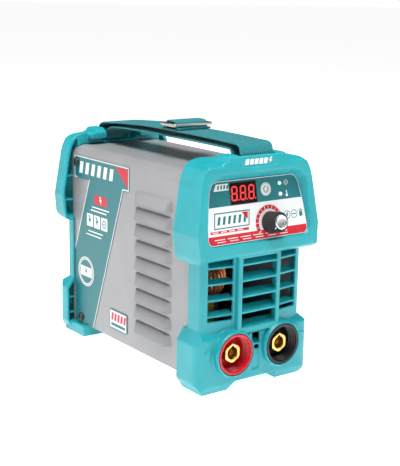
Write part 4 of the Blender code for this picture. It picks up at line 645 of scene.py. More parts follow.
class INVERTER_OT_bezels(InverterOperator, bpy.types.Operator):
    """Builds the front and rear moulded bezels with rounded edges"""

    bl_idname = "inverter.bezels"
    bl_label = "Moulded bezels"

    def execute(self, context):
        finest = context.scene.inverter_body.shell_round
        for node, name in (("front_bezel", "front_bezel_shell"), ("rear_bezel", "rear_bezel_shell")):
            piece = copy_of(node, name)
            use(piece, "REMESH", mode="VOXEL", voxel_size=finest)
            use(piece, "SMOOTH", factor=0.5, iterations=7)
            # the remesh leaves quads, each of which is two triangles
            kept = BEZEL_TRIANGLES / (2 * len(piece.data.polygons))
            use(piece, "DECIMATE", decimate_type="COLLAPSE", ratio=kept)
            done(piece, "shell", [node], angle=60)
        self.polarity_marks()
        return finished()

    def polarity_marks(self):
        """Raises a plus beside the positive socket and a minus beside the negative one."""
        aside, arm, stroke = 43.4, 3.3, 0.8
        above_floor, behind_bumper, thickness, sunk = 33.0 * MM, 5.1 * MM, 0.9 * MM, 0.3 * MM
        where = axes_at((0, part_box("front_bezel")[0].y + behind_bumper, above_floor), (1, 0, 0), (0, 0, 1))
        plus = ((-arm, -stroke), (-stroke, -stroke), (-stroke, -arm), (stroke, -arm), (stroke, -stroke),
                (arm, -stroke), (arm, stroke), (stroke, stroke), (stroke, arm), (-stroke, arm),
                (-stroke, stroke), (-arm, stroke))
        minus = ((-arm, -stroke), (arm, -stroke), (arm, stroke), (-arm, stroke))
        for name, side, outline in (("polarity_plus", -aside, plus), ("polarity_minus", aside, minus)):
            mark = flat_shape(name, [mm(*[(side + u, v) for u, v in outline])], thickness, where, -sunk)
            soften(mark, 0.25 * MM, 3, 40, True)
            done(mark, "shell")


# the louvres' places on the cover, in millimetres: the top one's upper edge, the pitch and their middle
LOUVRE_TOP = 135.8
LOUVRE_PITCH = 12.7
LOUVRE_MIDDLE = -27.36
SHEET = 1.0 * MM  # thickness of the cover
FOLD = 9.0 * MM  # the cover's bend at its top edges


class INVERTER_OT_cover(InverterOperator, bpy.types.Operator):
    """Builds the folded steel cover with its pressed louvres"""

    bl_idname = "inverter.cover"
    bl_label = "Steel cover"

    def execute(self, context):
        scene = context.scene
        low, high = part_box("casing_cover")
        wall = abs(LEFT_SIDE.translation.x) - 0.5 * MM
        sheet = block("steel_cover", (-wall, low.y, low.z), (wall, high.y, high.z))
        edit(sheet)
        pick("FACE", lambda face: face.normal.z < -0.9 or abs(face.normal.y) > 0.9)
        bpy.ops.mesh.delete(type="FACE")
        pick("EDGE", lambda edge: edge.is_manifold and all(vertex.co.z > high.z - MM
                                                           for vertex in edge.verts))
        bpy.ops.mesh.bevel(offset=FOLD, segments=10)
        hold(sheet)
        use(sheet, "SOLIDIFY", thickness=SHEET, offset=-1.0)
        pieces = [sheet]
        reach = high.x - wall
        body = scene.inverter_body
        one = self.louvre(body.louvre_length, body.louvre_height, reach, body.louvre_round)
        for number in range(body.louvres):
            foot = (LOUVRE_TOP - LOUVRE_PITCH * number) * MM - body.louvre_height
            for side, along in ((-1, (0, -1, 0)), (1, (0, 1, 0))):
                hood = twin(one, "hood")
                place(hood, axes_at((side * wall, LOUVRE_MIDDLE * MM, foot), along, (0, 0, 1)))
                pieces.append(hood)
        bpy.data.objects.remove(one, do_unlink=True)
        done(joined(pieces, "steel_cover"), "steel", ["casing_cover"], angle=40)
        return finished()

    def louvre(self, long, tall, reach, radius):
        """One pressed hood: it leans out towards its open lower lip, and its ends slope and are rounded."""
        base = -0.4 * MM
        hood = block("louvre", (-long / 2, 0, base), (long / 2, tall, reach))
        edit(hood)
        pick("VERT", lambda vertex: vertex.co.z > 0 and vertex.co.y > tall / 2)
        move((0, -0.6 * MM, -reach + 1.3 * MM))
        pick("VERT", lambda vertex: vertex.co.z > 0)
        swell((1 - 7.0 * MM / long, 1, 1), (0, 0, 0))
        pick("EDGE", lambda edge: not all(vertex.co.z < 0 for vertex in edge.verts)
             and not all(vertex.co.y < 0.1 * MM for vertex in edge.verts))
        bpy.ops.mesh.bevel(offset=radius, segments=5, profile=0.5, clamp_overlap=True)
        pick("FACE", lambda face: face.normal.y < -0.9)
        bpy.ops.mesh.inset(thickness=0.8 * MM)
        bpy.ops.mesh.extrude_region_move(TRANSFORM_OT_translate={"value": (0, 0.55 * tall, -0.25 * reach)})
        pick("FACE", lambda face: face.normal.z < -0.9 and face.calc_center_median().z < base + 0.01 * MM)
        bpy.ops.mesh.delete(type="FACE")
        bpy.ops.mesh.select_all(action="SELECT")
        bpy.ops.mesh.quads_convert_to_tris()
        hold(hood)
        return hood


class INVERTER_OT_screws(InverterOperator, bpy.types.Operator):
    """Builds the pan-head cover screws with their cross recesses"""

    bl_idname = "inverter.screws"
    bl_label = "Cover screws"

    def execute(self, context):
        for side, right in (("left", (0, -1, 0)), ("right", (0, 1, 0))):
            for level in ("upper", "lower"):
                node = f"casing_screw_{side}_{level}"
                low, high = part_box(node)
                middle = (low + high) / 2
                radius = (high.z - low.z) / 2
                outer = high.x if side == "right" else low.x
                where = axes_at((outer, middle.y, middle.z), right, (0, 0, 1))
                height, stem = 2.0 * MM, 6.0 * MM
                profile = [(0, -stem), (0.5 * radius, -stem), (0.5 * radius, -height), (radius, -height),
                           (radius, -0.9 * MM), (0.93 * radius, -0.45 * MM), (0.7 * radius, -0.12 * MM),
                           (0, 0)]
                piece = lathe(f"{node}_head", profile, 32)
                long, wide, deep = 1.9 * MM, 0.38 * MM, 1.3 * MM
                for half_u, half_v in ((wide, long), (long, wide)):
                    carve(piece, block("recess", (-half_u, -half_v, -deep), (half_u, half_v, MM)))
                place(piece, where)
                done(piece, "screw", [node])
        return finished()


# ---- control panel -------------------------------------------------------------------------------

PRINT = 0.06 * MM  # thickness of one printed layer
PRINT_GAP = 0.005 * MM  # between a printed layer and what it lies on
OVERLAY_FACE = 0.7 * MM  # the overlay's face, above the panel's own plane
# places on the panel, in millimetres from the middle of its lower edge
DISPLAY_LEFT, DISPLAY_RIGHT, DISPLAY_LOW, DISPLAY_HIGH = -22.5, 0.5, 27.6, 42.4
LAMP_U = 22.9
LAMP_LEVELS = {"indicator_power": 38.9, "indicator_overheat": 31.0}
BADGE = (9.7, 35.6)
SCALE_START, SCALE_END = -128, 58  # the printed arc, in degrees clockwise from the top


def panel_print(name, outlines, finish, layer):
    base = OVERLAY_FACE + (layer - 1) * PRINT + PRINT_GAP
    return done(flat_shape(name, outlines, PRINT, PANEL, base), finish)


def seven_segment(u, v, width, height, stroke, lean):
    """The seven bars of one digit and its point, each a mitred bar with a small gap."""
    half = height / 2
    gap = 0.12

    def leaned(points):
        return mm(*[(u + a + lean * b, v + b) for a, b in points])

    def level(b):
        tip, edge = width / 2 - gap, width / 2 - stroke / 2 - gap
        return leaned([(-tip, b), (-edge, b + stroke / 2), (edge, b + stroke / 2), (tip, b),
                       (edge, b - stroke / 2), (-edge, b - stroke / 2)])

    def upright(a, low, high):
        edge = stroke / 2
        return leaned([(a, low + gap), (a + edge, low + edge + gap), (a + edge, high - edge - gap),
                       (a, high - gap), (a - edge, high - edge - gap), (a - edge, low + edge + gap)])

    bars = [level(-half), level(0.0), level(half)]
    for a in (-width / 2, width / 2):
        bars += [upright(a, -half, 0.0), upright(a, 0.0, half)]
    return bars + [disc(u + width / 2 + 1.25, v - half, 0.55, 14)]


class INVERTER_OT_panel(InverterOperator, bpy.types.Operator):
    """Builds the printed control panel: its bands, frames, scale and symbols"""

    bl_idname = "inverter.panel"
    bl_label = "Printed panel"

    def execute(self, context):
        scene = context.scene
        dress("panel_overlay", "label")
        knob_u, knob_v = KNOB_U / MM, KNOB_V / MM
        scale = scene.inverter_panel.scale_radius / MM
        field = mm((-45.3, 6.9), (45.3, 6.9), (43.6, 22.0), (42.6, 26.9), (-42.6, 26.9), (-43.6, 22.0))
        panel_print("panel_white_field", [field], "print_white", 1)
        band = mm((-42.6, 0.9), (42.6, 0.9), (44.6, 2.6), (45.3, 4.4), (45.3, 6.8), (-45.3, 6.8),
                  (-45.3, 4.4), (-44.6, 2.6))
        panel_print("panel_red_band", [band], "print_red", 1)
        plate = frame_of(-39.7, 11.6, -8.3, 22.9, 0.8, 1.4)
        plate += [bar(-36.5 + 4.6 * n, 14.4, -34.4 + 4.6 * n, 20.1, 1.4) for n in range(6)]
        panel_print("panel_plate_mark", plate, "print_teal", 2)
        corner = mm((-14.2, 21.6), (-8.6, 21.6), (-9.3, 16.2))
        panel_print("panel_plate_corner", [corner, bar(-43.0, 8.6, -9.0, 10.4)], "print_red", 2)
        strip = [bar(-41.5 + 7.4 * n, 9.2, -36.4 + 7.4 * n, 9.8) for n in range(4)]
        strip += [bar(-40.0 + 11.4 * n, 4.0, -31.0 + 11.4 * n, 4.6) for n in range(6)]
        strip += [bar(-38.0 + 11.4 * n, 2.3, -30.6 + 11.4 * n, 2.8) for n in range(6)]
        panel_print("panel_fine_rules", strip, "print_white", 3)
        tag = [mm((-37.0, 37.9), (-23.8, 37.9), (-23.8, 42.6), (-34.6, 42.6))]
        panel_print("panel_tag", tag, "print_white", 1)
        tag_bars = [bar(-33.9 + 2.7 * n, 38.9, -32.5 + 2.7 * n, 41.7, 0.7) for n in range(4)]
        panel_print("panel_tag_bars", tag_bars, "print_teal", 2)
        badge = [*ring(*BADGE, 4.7, 4.2), *ring(*BADGE, 3.7, 2.9), bolt(*BADGE, 5.0)]
        panel_print("panel_badge", badge, "print_white", 1)
        panel_print("panel_badge_disc", [disc(*BADGE, 4.2)], "print_grey", 0)
        lamp_ring = [*ring(28.9, 38.9, 1.8, 1.45, 24), bar(28.1, 38.7, 29.7, 39.1)]
        thermometer = [disc(28.9, 29.6, 1.05, 18), round_bar(28.5, 30.4, 29.3, 33.2, 0.35)]
        panel_print("panel_lamp_marks", lamp_ring + thermometer, "print_white", 1)
        symbols = [*ring(27.4, 15.3, 3.1, 2.6), *ring(34.2, 15.3, 3.1, 2.6), bolt(27.4, 15.3, 4.2)]
        symbols += [bar(32.3, 14.9, 36.1, 15.7), bar(39.2, 13.0, 42.0, 16.6), bar(38.7, 17.0, 42.6, 17.6),
                    bar(39.9, 17.9, 41.4, 18.4)]
        panel_print("panel_symbols", symbols, "print_teal", 2)
        start, end = SCALE_START, SCALE_END
        sweep = arc(knob_u, knob_v, scale + 1.5, 90 - end, 90 - start, 48)
        back = arc(knob_u, knob_v, scale - 1.3, 90 - end, 90 - start, 48)
        panel_print("panel_scale", [sweep + back[::-1]], "print_red", 2)
        count = scene.inverter_panel.ticks
        ticks = []
        for number in range(count):
            turn = math.radians(90 - (start + 6 + (end - start - 12) * number / (count - 1)))
            along = Vector((math.cos(turn), math.sin(turn)))
            across = Vector((-math.sin(turn), math.cos(turn)))
            centre = Vector((knob_u, knob_v)) + along * (scale + 0.1)
            long, wide = (1.15, 0.24) if number % 2 == 0 else (0.75, 0.18)
            corners = [centre + along * a * long + across * b * wide
                       for a, b in ((-1, -1), (1, -1), (1, 1), (-1, 1))]
            ticks.append(mm(*corners))
        panel_print("panel_scale_ticks", ticks, "print_white", 3)
        trim = [mm((-42.9, 0.35), (42.9, 0.35), (44.9, 2.2), (45.65, 4.4), (43.9, 22.2), (40.7, 38.5),
                   (38.0, 43.2), (34.0, 44.5), (-34.0, 44.5), (-38.0, 43.2), (-40.7, 38.5), (-43.9, 22.2),
                   (-45.65, 4.4), (-44.9, 2.2))]
        trim += [mm((-42.6, 0.75), (42.6, 0.75), (44.6, 2.5), (45.3, 4.4), (43.55, 22.0), (40.3, 38.2),
                    (37.8, 42.9), (33.9, 44.1), (-33.9, 44.1), (-37.8, 42.9), (-40.3, 38.2), (-43.55, 22.0),
                    (-45.3, 4.4), (-44.6, 2.5))]
        panel_print("panel_edge_line", trim, "print_white", 2)
        return finished()


class INVERTER_OT_display(InverterOperator, bpy.types.Operator):
    """Builds the display window, its lit digits and the two lamps"""

    bl_idname = "inverter.display"
    bl_label = "Display and lamps"

    def execute(self, context):
        scene = context.scene
        dress("display_module", "display")
        digits = scene.inverter_panel.digits
        left, right, low, high = DISPLAY_LEFT, DISPLAY_RIGHT, DISPLAY_LOW, DISPLAY_HIGH
        pitch = (right - left) / digits
        bars = []
        for number in range(digits):
            bars += seven_segment(left + pitch * (number + 0.46), (low + high) / 2, 4.3, 9.4, 1.15, 0.07)
        done(flat_shape("display_digits", bars, PRINT, PANEL, OVERLAY_FACE + 0.01 * MM), "segments")
        rim = [mm((left - 0.5, low - 0.5), (right + 0.5, low - 0.5), (right + 0.5, high + 0.5),
                  (left - 0.5, high + 0.5)),
               mm((left + 0.05, low + 0.05), (right - 0.05, low + 0.05), (right - 0.05, high - 0.05),
                  (left + 0.05, high - 0.05))]
        done(flat_shape("display_rim", rim, 0.35 * MM, PANEL, OVERLAY_FACE + PRINT_GAP), "black")
        radius = 1.5 * MM
        for node, v in LAMP_LEVELS.items():
            profile = [(0, -6 * MM), (radius, -6 * MM), (radius, 0.2 * MM)]
            profile += [(radius * math.cos(t), 0.2 * MM + 0.62 * radius * math.sin(t))
                        for t in (0.4, 0.8, 1.2)]
            piece = lathe(f"{node}_lens", profile + [(0, 0.2 * MM + 0.62 * radius)], 28)
            place(piece, PANEL @ Matrix.Translation((LAMP_U * MM, v * MM, OVERLAY_FACE)))
            done(piece, "lamp", [node])
        return finished()


class INVERTER_OT_knob(InverterOperator, bpy.types.Operator):
    """Builds the fluted current knob and its spun cap"""

    bl_idname = "inverter.knob"
    bl_label = "Current knob"

    def execute(self, context):
        where = PANEL @ Matrix.Translation((KNOB_U, KNOB_V, 0))
        radius, foot, head, cap = 8.0 * MM, 1.5 * MM, 13.0 * MM, 5.4 * MM
        piece = rod("knob_grip", radius, foot, head, 96)
        edit(piece)
        pick("FACE", lambda face: face.normal.z > 0.9)
        bpy.ops.mesh.inset(thickness=0.5 * MM)
        bpy.ops.mesh.inset(thickness=radius - cap - 0.9 * MM)
        bpy.ops.mesh.extrude_region_move(TRANSFORM_OT_translate={"value": (0, 0, -0.5 * MM)})

        def in_flute(vertex):
            """Whether a vertex of the grip's wall lies in one of its 24 flutes."""
            turn = math.degrees(math.atan2(vertex.co.y, vertex.co.x)) % 15
            return vertex.co.xy.length > radius - 0.1 * MM and 3 < turn < 12

        pick("FACE", lambda face: abs(face.normal.z) < 0.1
             and face.calc_center_median().xy.length > radius - MM)
        bpy.ops.mesh.bisect(plane_co=(0, 0, foot + 2.2 * MM), plane_no=(0, 0, 1))
        pick("VERT", lambda vertex: in_flute(vertex) and vertex.co.z > foot + MM)
        swell((0.945, 0.945, 1), (0, 0, 0))
        pick("VERT", lambda vertex: vertex.co.z > head - MM)
        swell((0.93, 0.93, 1), (0, 0, 0))
        hold(piece)
        soften(piece, 0.35 * MM, 3, 40)
        place(piece, where)
        done(piece, "black", ["knob_body"], "knob", 50)
        pointer = block("knob_pointer", (-0.45 * MM, 5.6 * MM, head - 0.35 * MM),
                        (0.45 * MM, 7.0 * MM, head + 0.08 * MM))
        soften(pointer, 0.1 * MM, 2)
        place(pointer, where @ Matrix.Rotation(math.radians(-SCALE_START), 4, "Z"))
        done(pointer, "print_white", (), "knob")
        profile = [(0, head - 1.4 * MM), (cap, head - 1.4 * MM), (cap, head + 0.9 * MM),
                   (cap - 0.2 * MM, head + 1.35 * MM), (cap - 0.7 * MM, head + 1.6 * MM),
                   (cap - 1.2 * MM, head + 1.45 * MM), (0.4 * cap, head + 1.3 * MM), (0, head + 1.25 * MM)]
        lid = place(lathe("knob_disc", profile, 72), where)
        done(lid, "knob_metal", ["knob_cap"], "knob", 25)
        dress("knob_shaft", "zinc")
        dress("potentiometer", "zinc")
        return finished()


# ---- output sockets ------------------------------------------------------------------------------


class INVERTER_OT_sockets(InverterOperator, bpy.types.Operator):
    """Builds the two twist-lock output sockets with their brass inserts"""

    bl_idname = "inverter.sockets"
    bl_label = "Output sockets"

    def execute(self, context):
        for pole, finish in (("positive", "red"), ("negative", "black")):
            low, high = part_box(f"socket_shroud_{pole}")
            centre = (low + high) / 2
            where = axes_at((centre.x, low.y, centre.z), (1, 0, 0), (0, 0, 1))
            outer = (high.x - low.x) / 2
            inner = outer - 2.1 * MM
            depth = high.y - low.y
            floor = -12.5 * MM
            profile = [(5.3 * MM, -depth), (outer - MM, -depth), (outer, -MM),
                       (outer - 0.25 * MM, -0.25 * MM), (outer - 0.6 * MM, 0), (inner + 0.45 * MM, 0),
                       (inner + 0.1 * MM, -0.2 * MM), (inner, -0.6 * MM)]
            for step in range(5):
                level = -(1.6 + 1.5 * step) * MM
                here = inner - 0.1 * MM * step
                profile += [(here - 0.05 * MM, level), (here - 0.55 * MM, level - 0.35 * MM),
                            (here - 0.55 * MM, level - 0.75 * MM), (here - 0.1 * MM, level - 1.1 * MM)]
            profile += [(inner - 1.4 * MM, floor + 1.2 * MM), (inner - 2.2 * MM, floor), (8.6 * MM, floor),
                        (8.3 * MM, floor + 0.8 * MM), (7.7 * MM, floor + 0.8 * MM), (7.5 * MM, floor),
                        (5.3 * MM, floor), (5.3 * MM, -depth)]
            ring_piece = place(lathe(f"socket_ring_{pole}", profile, 72), where)
            done(ring_piece, finish, [f"socket_shroud_{pole}"], angle=35)

            low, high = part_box(f"socket_insert_{pole}")
            half = (high.x - low.x) / 2
            tip = low.y - where.translation.y
            hold(None)
            bpy.ops.mesh.primitive_cylinder_add(vertices=6, radius=half / math.cos(math.pi / 6),
                                                depth=8 * MM, rotation=(0, 0, 0),
                                                location=(0, 0, -tip - 4 * MM))
            bpy.ops.object.transform_apply(location=True, rotation=True, scale=True)
            insert = named(f"socket_pin_seat_{pole}")
            face = -tip
            crown = lathe("crown",
                          [(0, face - 9 * MM), (half * 1.13, face - 9 * MM), (half * 1.13, face - 0.6 * MM),
                           (half * 1.05, face - 0.02 * MM), (0, face - 0.02 * MM)], 64)
            use(insert, "BOOLEAN", operation="INTERSECT", solver="EXACT", object=crown)
            bpy.data.objects.remove(crown, do_unlink=True)
            bore = lathe("bore",
                         [(0, face - 14 * MM), (4.3 * MM, face - 14 * MM), (4.3 * MM, face - 0.5 * MM),
                          (4.8 * MM, face + 0.05 * MM), (4.8 * MM, face + MM), (0, face + MM)], 48)
            carve(insert, bore)
            carve(insert, block("key", (-1.1 * MM, 3.6 * MM, face - 7 * MM),
                                (1.1 * MM, 5.5 * MM, face + MM)))
            soften(insert, 0.18 * MM, 2, 40)
            base = lathe("seat",
                         [(0, face - 12.4 * MM), (4.7 * MM, face - 12.4 * MM), (4.7 * MM, face - 18.9 * MM),
                          (0, face - 18.9 * MM)], 32)
            joined([insert, base], insert.name)
            done(place(insert, where), "brass", [f"socket_insert_{pole}"], angle=30)
            dress(f"socket_nut_{pole}", "zinc")
            dress(f"busbar_{pole}", "copper")
        return finished()


# ---- strap ---------------------------------------------------------------------------------------

# the middle line of the webbing, (y, z) in millimetres, from the front slot over the top and back underneath
STRAP_ROUTE = (
    (-91.4, 168.0), (-91.3, 171.3), (-91.0, 174.0), (-90.3, 176.0), (-89.2, 177.3), (-87.6, 178.1),
    (-85.4, 178.4), (-74.9, 178.6), (-63.3, 178.9), (-51.6, 179.1), (-41.0, 179.2), (-32.4, 179.3),
    (-19.4, 179.3), (-6.4, 179.3), (6.6, 179.3), (19.6, 179.3), (31.4, 179.0), (46.1, 178.4), (61.6, 177.4),
    (75.8, 176.4), (86.6, 175.5), (89.9, 175.2), (92.8, 174.7), (95.2, 173.9), (97.0, 172.7), (98.2, 170.8),
    (98.6, 168.0), (98.1, 165.9), (96.9, 164.9), (95.0, 164.7), (92.7, 165.1), (90.4, 166.2), (88.2, 167.7),
    (85.6, 169.4), (82.7, 171.0), (79.0, 172.3), (67.8, 173.2), (50.3, 173.8), (28.5, 174.3), (4.3, 174.6),
    (-20.3, 174.7), (-43.5, 174.7), (-63.3, 174.6), (-77.9, 174.3), (-80.0, 173.4), (-81.5, 171.5),
    (-82.7, 169.2), (-83.9, 167.0), (-85.6, 165.3), (-87.9, 164.7), (-89.7, 164.9), (-91.0, 165.9),
)


def smooth_loop(points, closed, spacing):
    """A smooth curve through points, as (y, z) pairs a fixed distance apart."""
    count = len(points)
    fine = []
    spans = count if closed else count - 1
    for index in range(spans):
        corner = [Vector(points[(index + k) % count] if closed else points[min(max(index + k, 0),
                                                                               count - 1)])
                  for k in (-1, 0, 1, 2)]
        for step in range(12):
            t = step / 12
            a, b, c, d = corner
            fine.append(0.5 * ((2 * b) + (c - a) * t + (2 * a - 5 * b + 4 * c - d) * t * t
                               + (3 * b - a - 3 * c + d) * t**3))
    if not closed:
        fine.append(Vector(points[-1]))
    line = fine + ([fine[0]] if closed else [])
    total = sum((q - p).length for p, q in zip(line, line[1:]))
    steps = round(total / spacing)
    spread, walked, index = [], 0.0, 0
    for step in range(steps + (0 if closed else 1)):
        target = total * step / steps
        while index < len(line) - 2 and walked + (line[index + 1] - line[index]).length < target:
            walked += (line[index + 1] - line[index]).length
            index += 1
        span = (line[index + 1] - line[index]).length or 1.0
        spread.append(line[index].lerp(line[index + 1], min(1.0, (target - walked) / span)))
    return spread, total


def webbing_band(name, route, closed, width, thickness, spacing):
    """A woven band along a route of (y, z) in metres, with rounded selvedges and a UV map in metres."""
    line, total = smooth_loop(route, closed, spacing)
    half = width / 2
    edge = thickness / 2
    section = [(-half + edge, edge), (-half + 3 * edge, edge * 0.86), (0.0, edge),
               (half - 3 * edge, edge * 0.86), (half - edge, edge), (half - 0.3 * edge, 0.72 * edge),
               (half, 0.0), (half - 0.3 * edge, -0.72 * edge), (half - edge, -edge),
               (half - 3 * edge, -edge * 0.86), (0.0, -edge), (-half + 3 * edge, -edge * 0.86),
               (-half + edge, -edge), (-half + 0.3 * edge, -0.72 * edge), (-half, 0.0),
               (-half + 0.3 * edge, 0.72 * edge)]
    shape = bmesh.new()
    layer = shape.loops.layers.uv.new("along_strap")
    count = len(line)
    rows = []
    for index, point in enumerate(line):
        before = line[(index - 1) % count] if closed or index else line[0]
        after = line[(index + 1) % count] if closed or index < count - 1 else line[-1]
        along = (after - before).normalized()
        out = Vector((-along.y, along.x))
        rows.append([shape.verts.new((x, *(point + out * rise))) for x, rise in section])
    spans = count if closed else count - 1
    ring_count = len(section)
    girth = [0.0]
    for k in range(ring_count):
        a, b = Vector(section[k]), Vector(section[(k + 1) % ring_count])
        girth.append(girth[-1] + (b - a).length)
    for index in range(spans):
        first, second = rows[index], rows[(index + 1) % count]
        for k in range(ring_count):
            after = (k + 1) % ring_count
            face = shape.faces.new((first[k], first[after], second[after], second[k]))
            place_along = (index, index, index + 1, index + 1)
            place_round = (girth[k], girth[k + 1], girth[k + 1], girth[k])
            for loop, a, b in zip(face.loops, place_round, place_along):
                loop[layer].uv = (a, b * total / spans)
    if not closed:
        shape.faces.new(rows[0])
        shape.faces.new(rows[-1][::-1])
    bmesh.ops.recalc_face_normals(shape, faces=shape.faces)
    mesh = bpy.data.meshes.new(name)
    shape.to_mesh(mesh)
    shape.free()
    piece = bpy.data.objects.new(name, mesh)
    bpy.context.scene.collection.objects.link(piece)
    return piece, total


class INVERTER_OT_strap(InverterOperator, bpy.types.Operator):
    """Builds the woven shoulder strap, looped round both bars"""

    bl_idname = "inverter.strap"
    bl_label = "Woven strap"

    def execute(self, context):
        scene = context.scene
        sizes = scene.inverter_strap
        route = [(y * MM, z * MM) for y, z in STRAP_ROUTE]
        strap, total = webbing_band("woven_strap", route, True, sizes.width, sizes.thickness, 1.6 * MM)
        done(strap, "webbing", ["strap_webbing"], angle=70)
        return finished()


class INVERTER_OT_buckle(InverterOperator, bpy.types.Operator):
    """Builds the sliding strap adjuster and the webbing fold over its middle bar"""

    bl_idname = "inverter.buckle"
    bl_label = "Strap adjuster"

    def execute(self, context):
        scene = context.scene
        frame_piece = copy_of("strap_buckle", "adjuster_frame")
        soften(frame_piece, 0.75 * MM, 4, 40, True)
        done(frame_piece, "nickel", ["strap_buckle"], "buckle", 60)
        low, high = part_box("buckle_fold")
        middle, half = (low.y + high.y) / 2, (high.y - low.y) / 2
        thick = 1.4 * MM
        base, top = low.z + thick / 2, high.z - thick / 2
        side = [(-half, base), (-half + 3.4 * MM, base), (-half + 4.6 * MM, base + 0.25 * MM),
                (-0.58 * half, base + 1.9 * MM), (-0.45 * half, top - 0.5 * MM),
                (-0.30 * half, top - 0.02 * MM), (0.0, top)]
        route = [(middle + y, z) for y, z in side] + [(middle - y, z) for y, z in side[-2::-1]]
        fold, total = webbing_band("adjuster_fold", route, False, scene.inverter_strap.width - MM, thick,
                                   0.9 * MM)
        done(fold, "webbing", ["buckle_fold"], "buckle", 70)
        return finished()


# ---- side labels ---------------------------------------------------------------------------------


def side_print(name, outlines, finish, layer):
    """The same print on both side labels, mirrored so that it runs the same way from front to rear."""
    for side, where, sign in (("left", LEFT_SIDE, -1), ("right", RIGHT_SIDE, 1)):
        turned = [[(sign * y, z) for y, z in outline] for outline in outlines]
        done(flat_shape(f"{name}_{side}", turned, PRINT, where, (layer - 1) * PRINT + PRINT_GAP), finish)


class INVERTER_OT_labels(InverterOperator, bpy.types.Operator):
    """Builds the printed side labels with generic marks"""

    bl_idname = "inverter.labels"
    bl_label = "Side labels"

    def execute(self, context):
        for side in ("left", "right"):
            dress(f"side_label_{side}", "label")
        plate = axes_at((0, -94.2 * MM, 166.4 * MM), (1, 0, 0), (0, 0, 1))
        flashes = [mm((-12.6 + 4.2 * n, -2.0), (-9.6 + 4.2 * n, -2.0), (-8.8 + 4.2 * n, 2.0),
                      (-11.8 + 4.2 * n, 2.0))
                   for n in range(5)]
        marks = flat_shape("nameplate_marks", [*flashes, bolt(10.4, 0.0, 4.6)], 0.5 * MM, plate, 0)
        done(marks, "print_white")
        side_print("label_line", [mm((6.7, 133.4), (6.7, 149.9), (87.2, 149.9), (87.2, 133.4), (84.0, 133.4),
                                     (84.0, 132.6), (88.0, 132.6), (88.0, 150.7), (5.9, 150.7), (5.9, 132.6),
                                     (13.9, 132.6), (59.0, 10.4), (59.9, 10.4), (14.5, 133.4))],
                   "print_white", 1)
        side_print("label_rear_line", [mm((63.9, 133.2), (64.7, 133.2), (87.8, 73.8), (87.8, 71.6))],
                   "print_white", 1)
        side_print("label_corner", [mm((7.4, 149.2), (24.5, 149.2), (7.4, 134.4))], "print_red", 2)
        stripes = [mm((80.5 - 9.2 * n, 137.0), (75.6 - 9.2 * n, 137.0), (73.6 - 9.2 * n, 146.6),
                      (78.5 - 9.2 * n, 146.6))
                   for n in range(6)]
        side_print("label_stripes", stripes, "print_white", 1)
        side_print("label_tag", [round_bar(38.0, 114.6, 56.5, 122.2, 0.8)], "print_red", 1)
        side_print("label_tag_bolt", [bolt(47.2, 118.4, 6.4)], "print_white", 2)
        side_print("label_rules", [bar(34.5, 111.2, 60.5, 112.2), bar(38.5, 108.4, 62.5, 109.4)],
                   "print_white", 1)
        icons = [round_bar(37.0 + 11.2 * n, 95.0, 46.4 + 11.2 * n, 105.4, 0.8) for n in range(3)]
        side_print("label_icons", icons, "print_white", 1)
        side_print("label_icon_marks",
                   [bolt(64.1, 100.2, 8.0), bolt(52.9, 100.2, 8.0), *ring(41.7, 100.2, 3.2, 2.3, 24),
                    bar(40.2, 99.8, 43.2, 100.6)], "print_teal", 2)
        side_print("label_small_rules", [bar(44.0, 90.6, 66.5, 91.5), bar(46.0, 87.6, 70.0, 88.4)],
                   "print_white", 1)
        side_print("label_badge", [*ring(70.5, 55.5, 12.4, 11.8, 48), *ring(70.5, 55.5, 10.6, 10.0, 48)],
                   "print_white", 2)
        side_print("label_badge_disc", [*ring(70.5, 55.5, 11.8, 10.6, 48)], "print_grey", 1)
        side_print("label_badge_bar", [round_bar(61.6, 51.4, 79.4, 59.6, 1.0), bolt(70.5, 55.5, 6.6)],
                   "print_white", 2)
        side_print("label_lower_badge", [round_bar(8.0, 17.5, 33.5, 33.5, 1.2)], "print_teal", 2)
        side_print("label_lower_badge_face", [round_bar(8.9, 18.4, 32.6, 32.6, 0.8)], "print_white", 3)
        badge_bars = [mm((31.0 - 4.5 * n, 24.6), (28.0 - 4.5 * n, 24.6), (27.2 - 4.5 * n, 31.0),
                         (30.2 - 4.5 * n, 31.0)) for n in range(5)]
        side_print("label_lower_badge_bars", badge_bars, "print_red", 4)
        side_print("label_lower_badge_rule", [bar(10.5, 20.2, 31.0, 22.6)], "print_teal", 4)
        return finished()


# ---- rear fittings -------------------------------------------------------------------------------


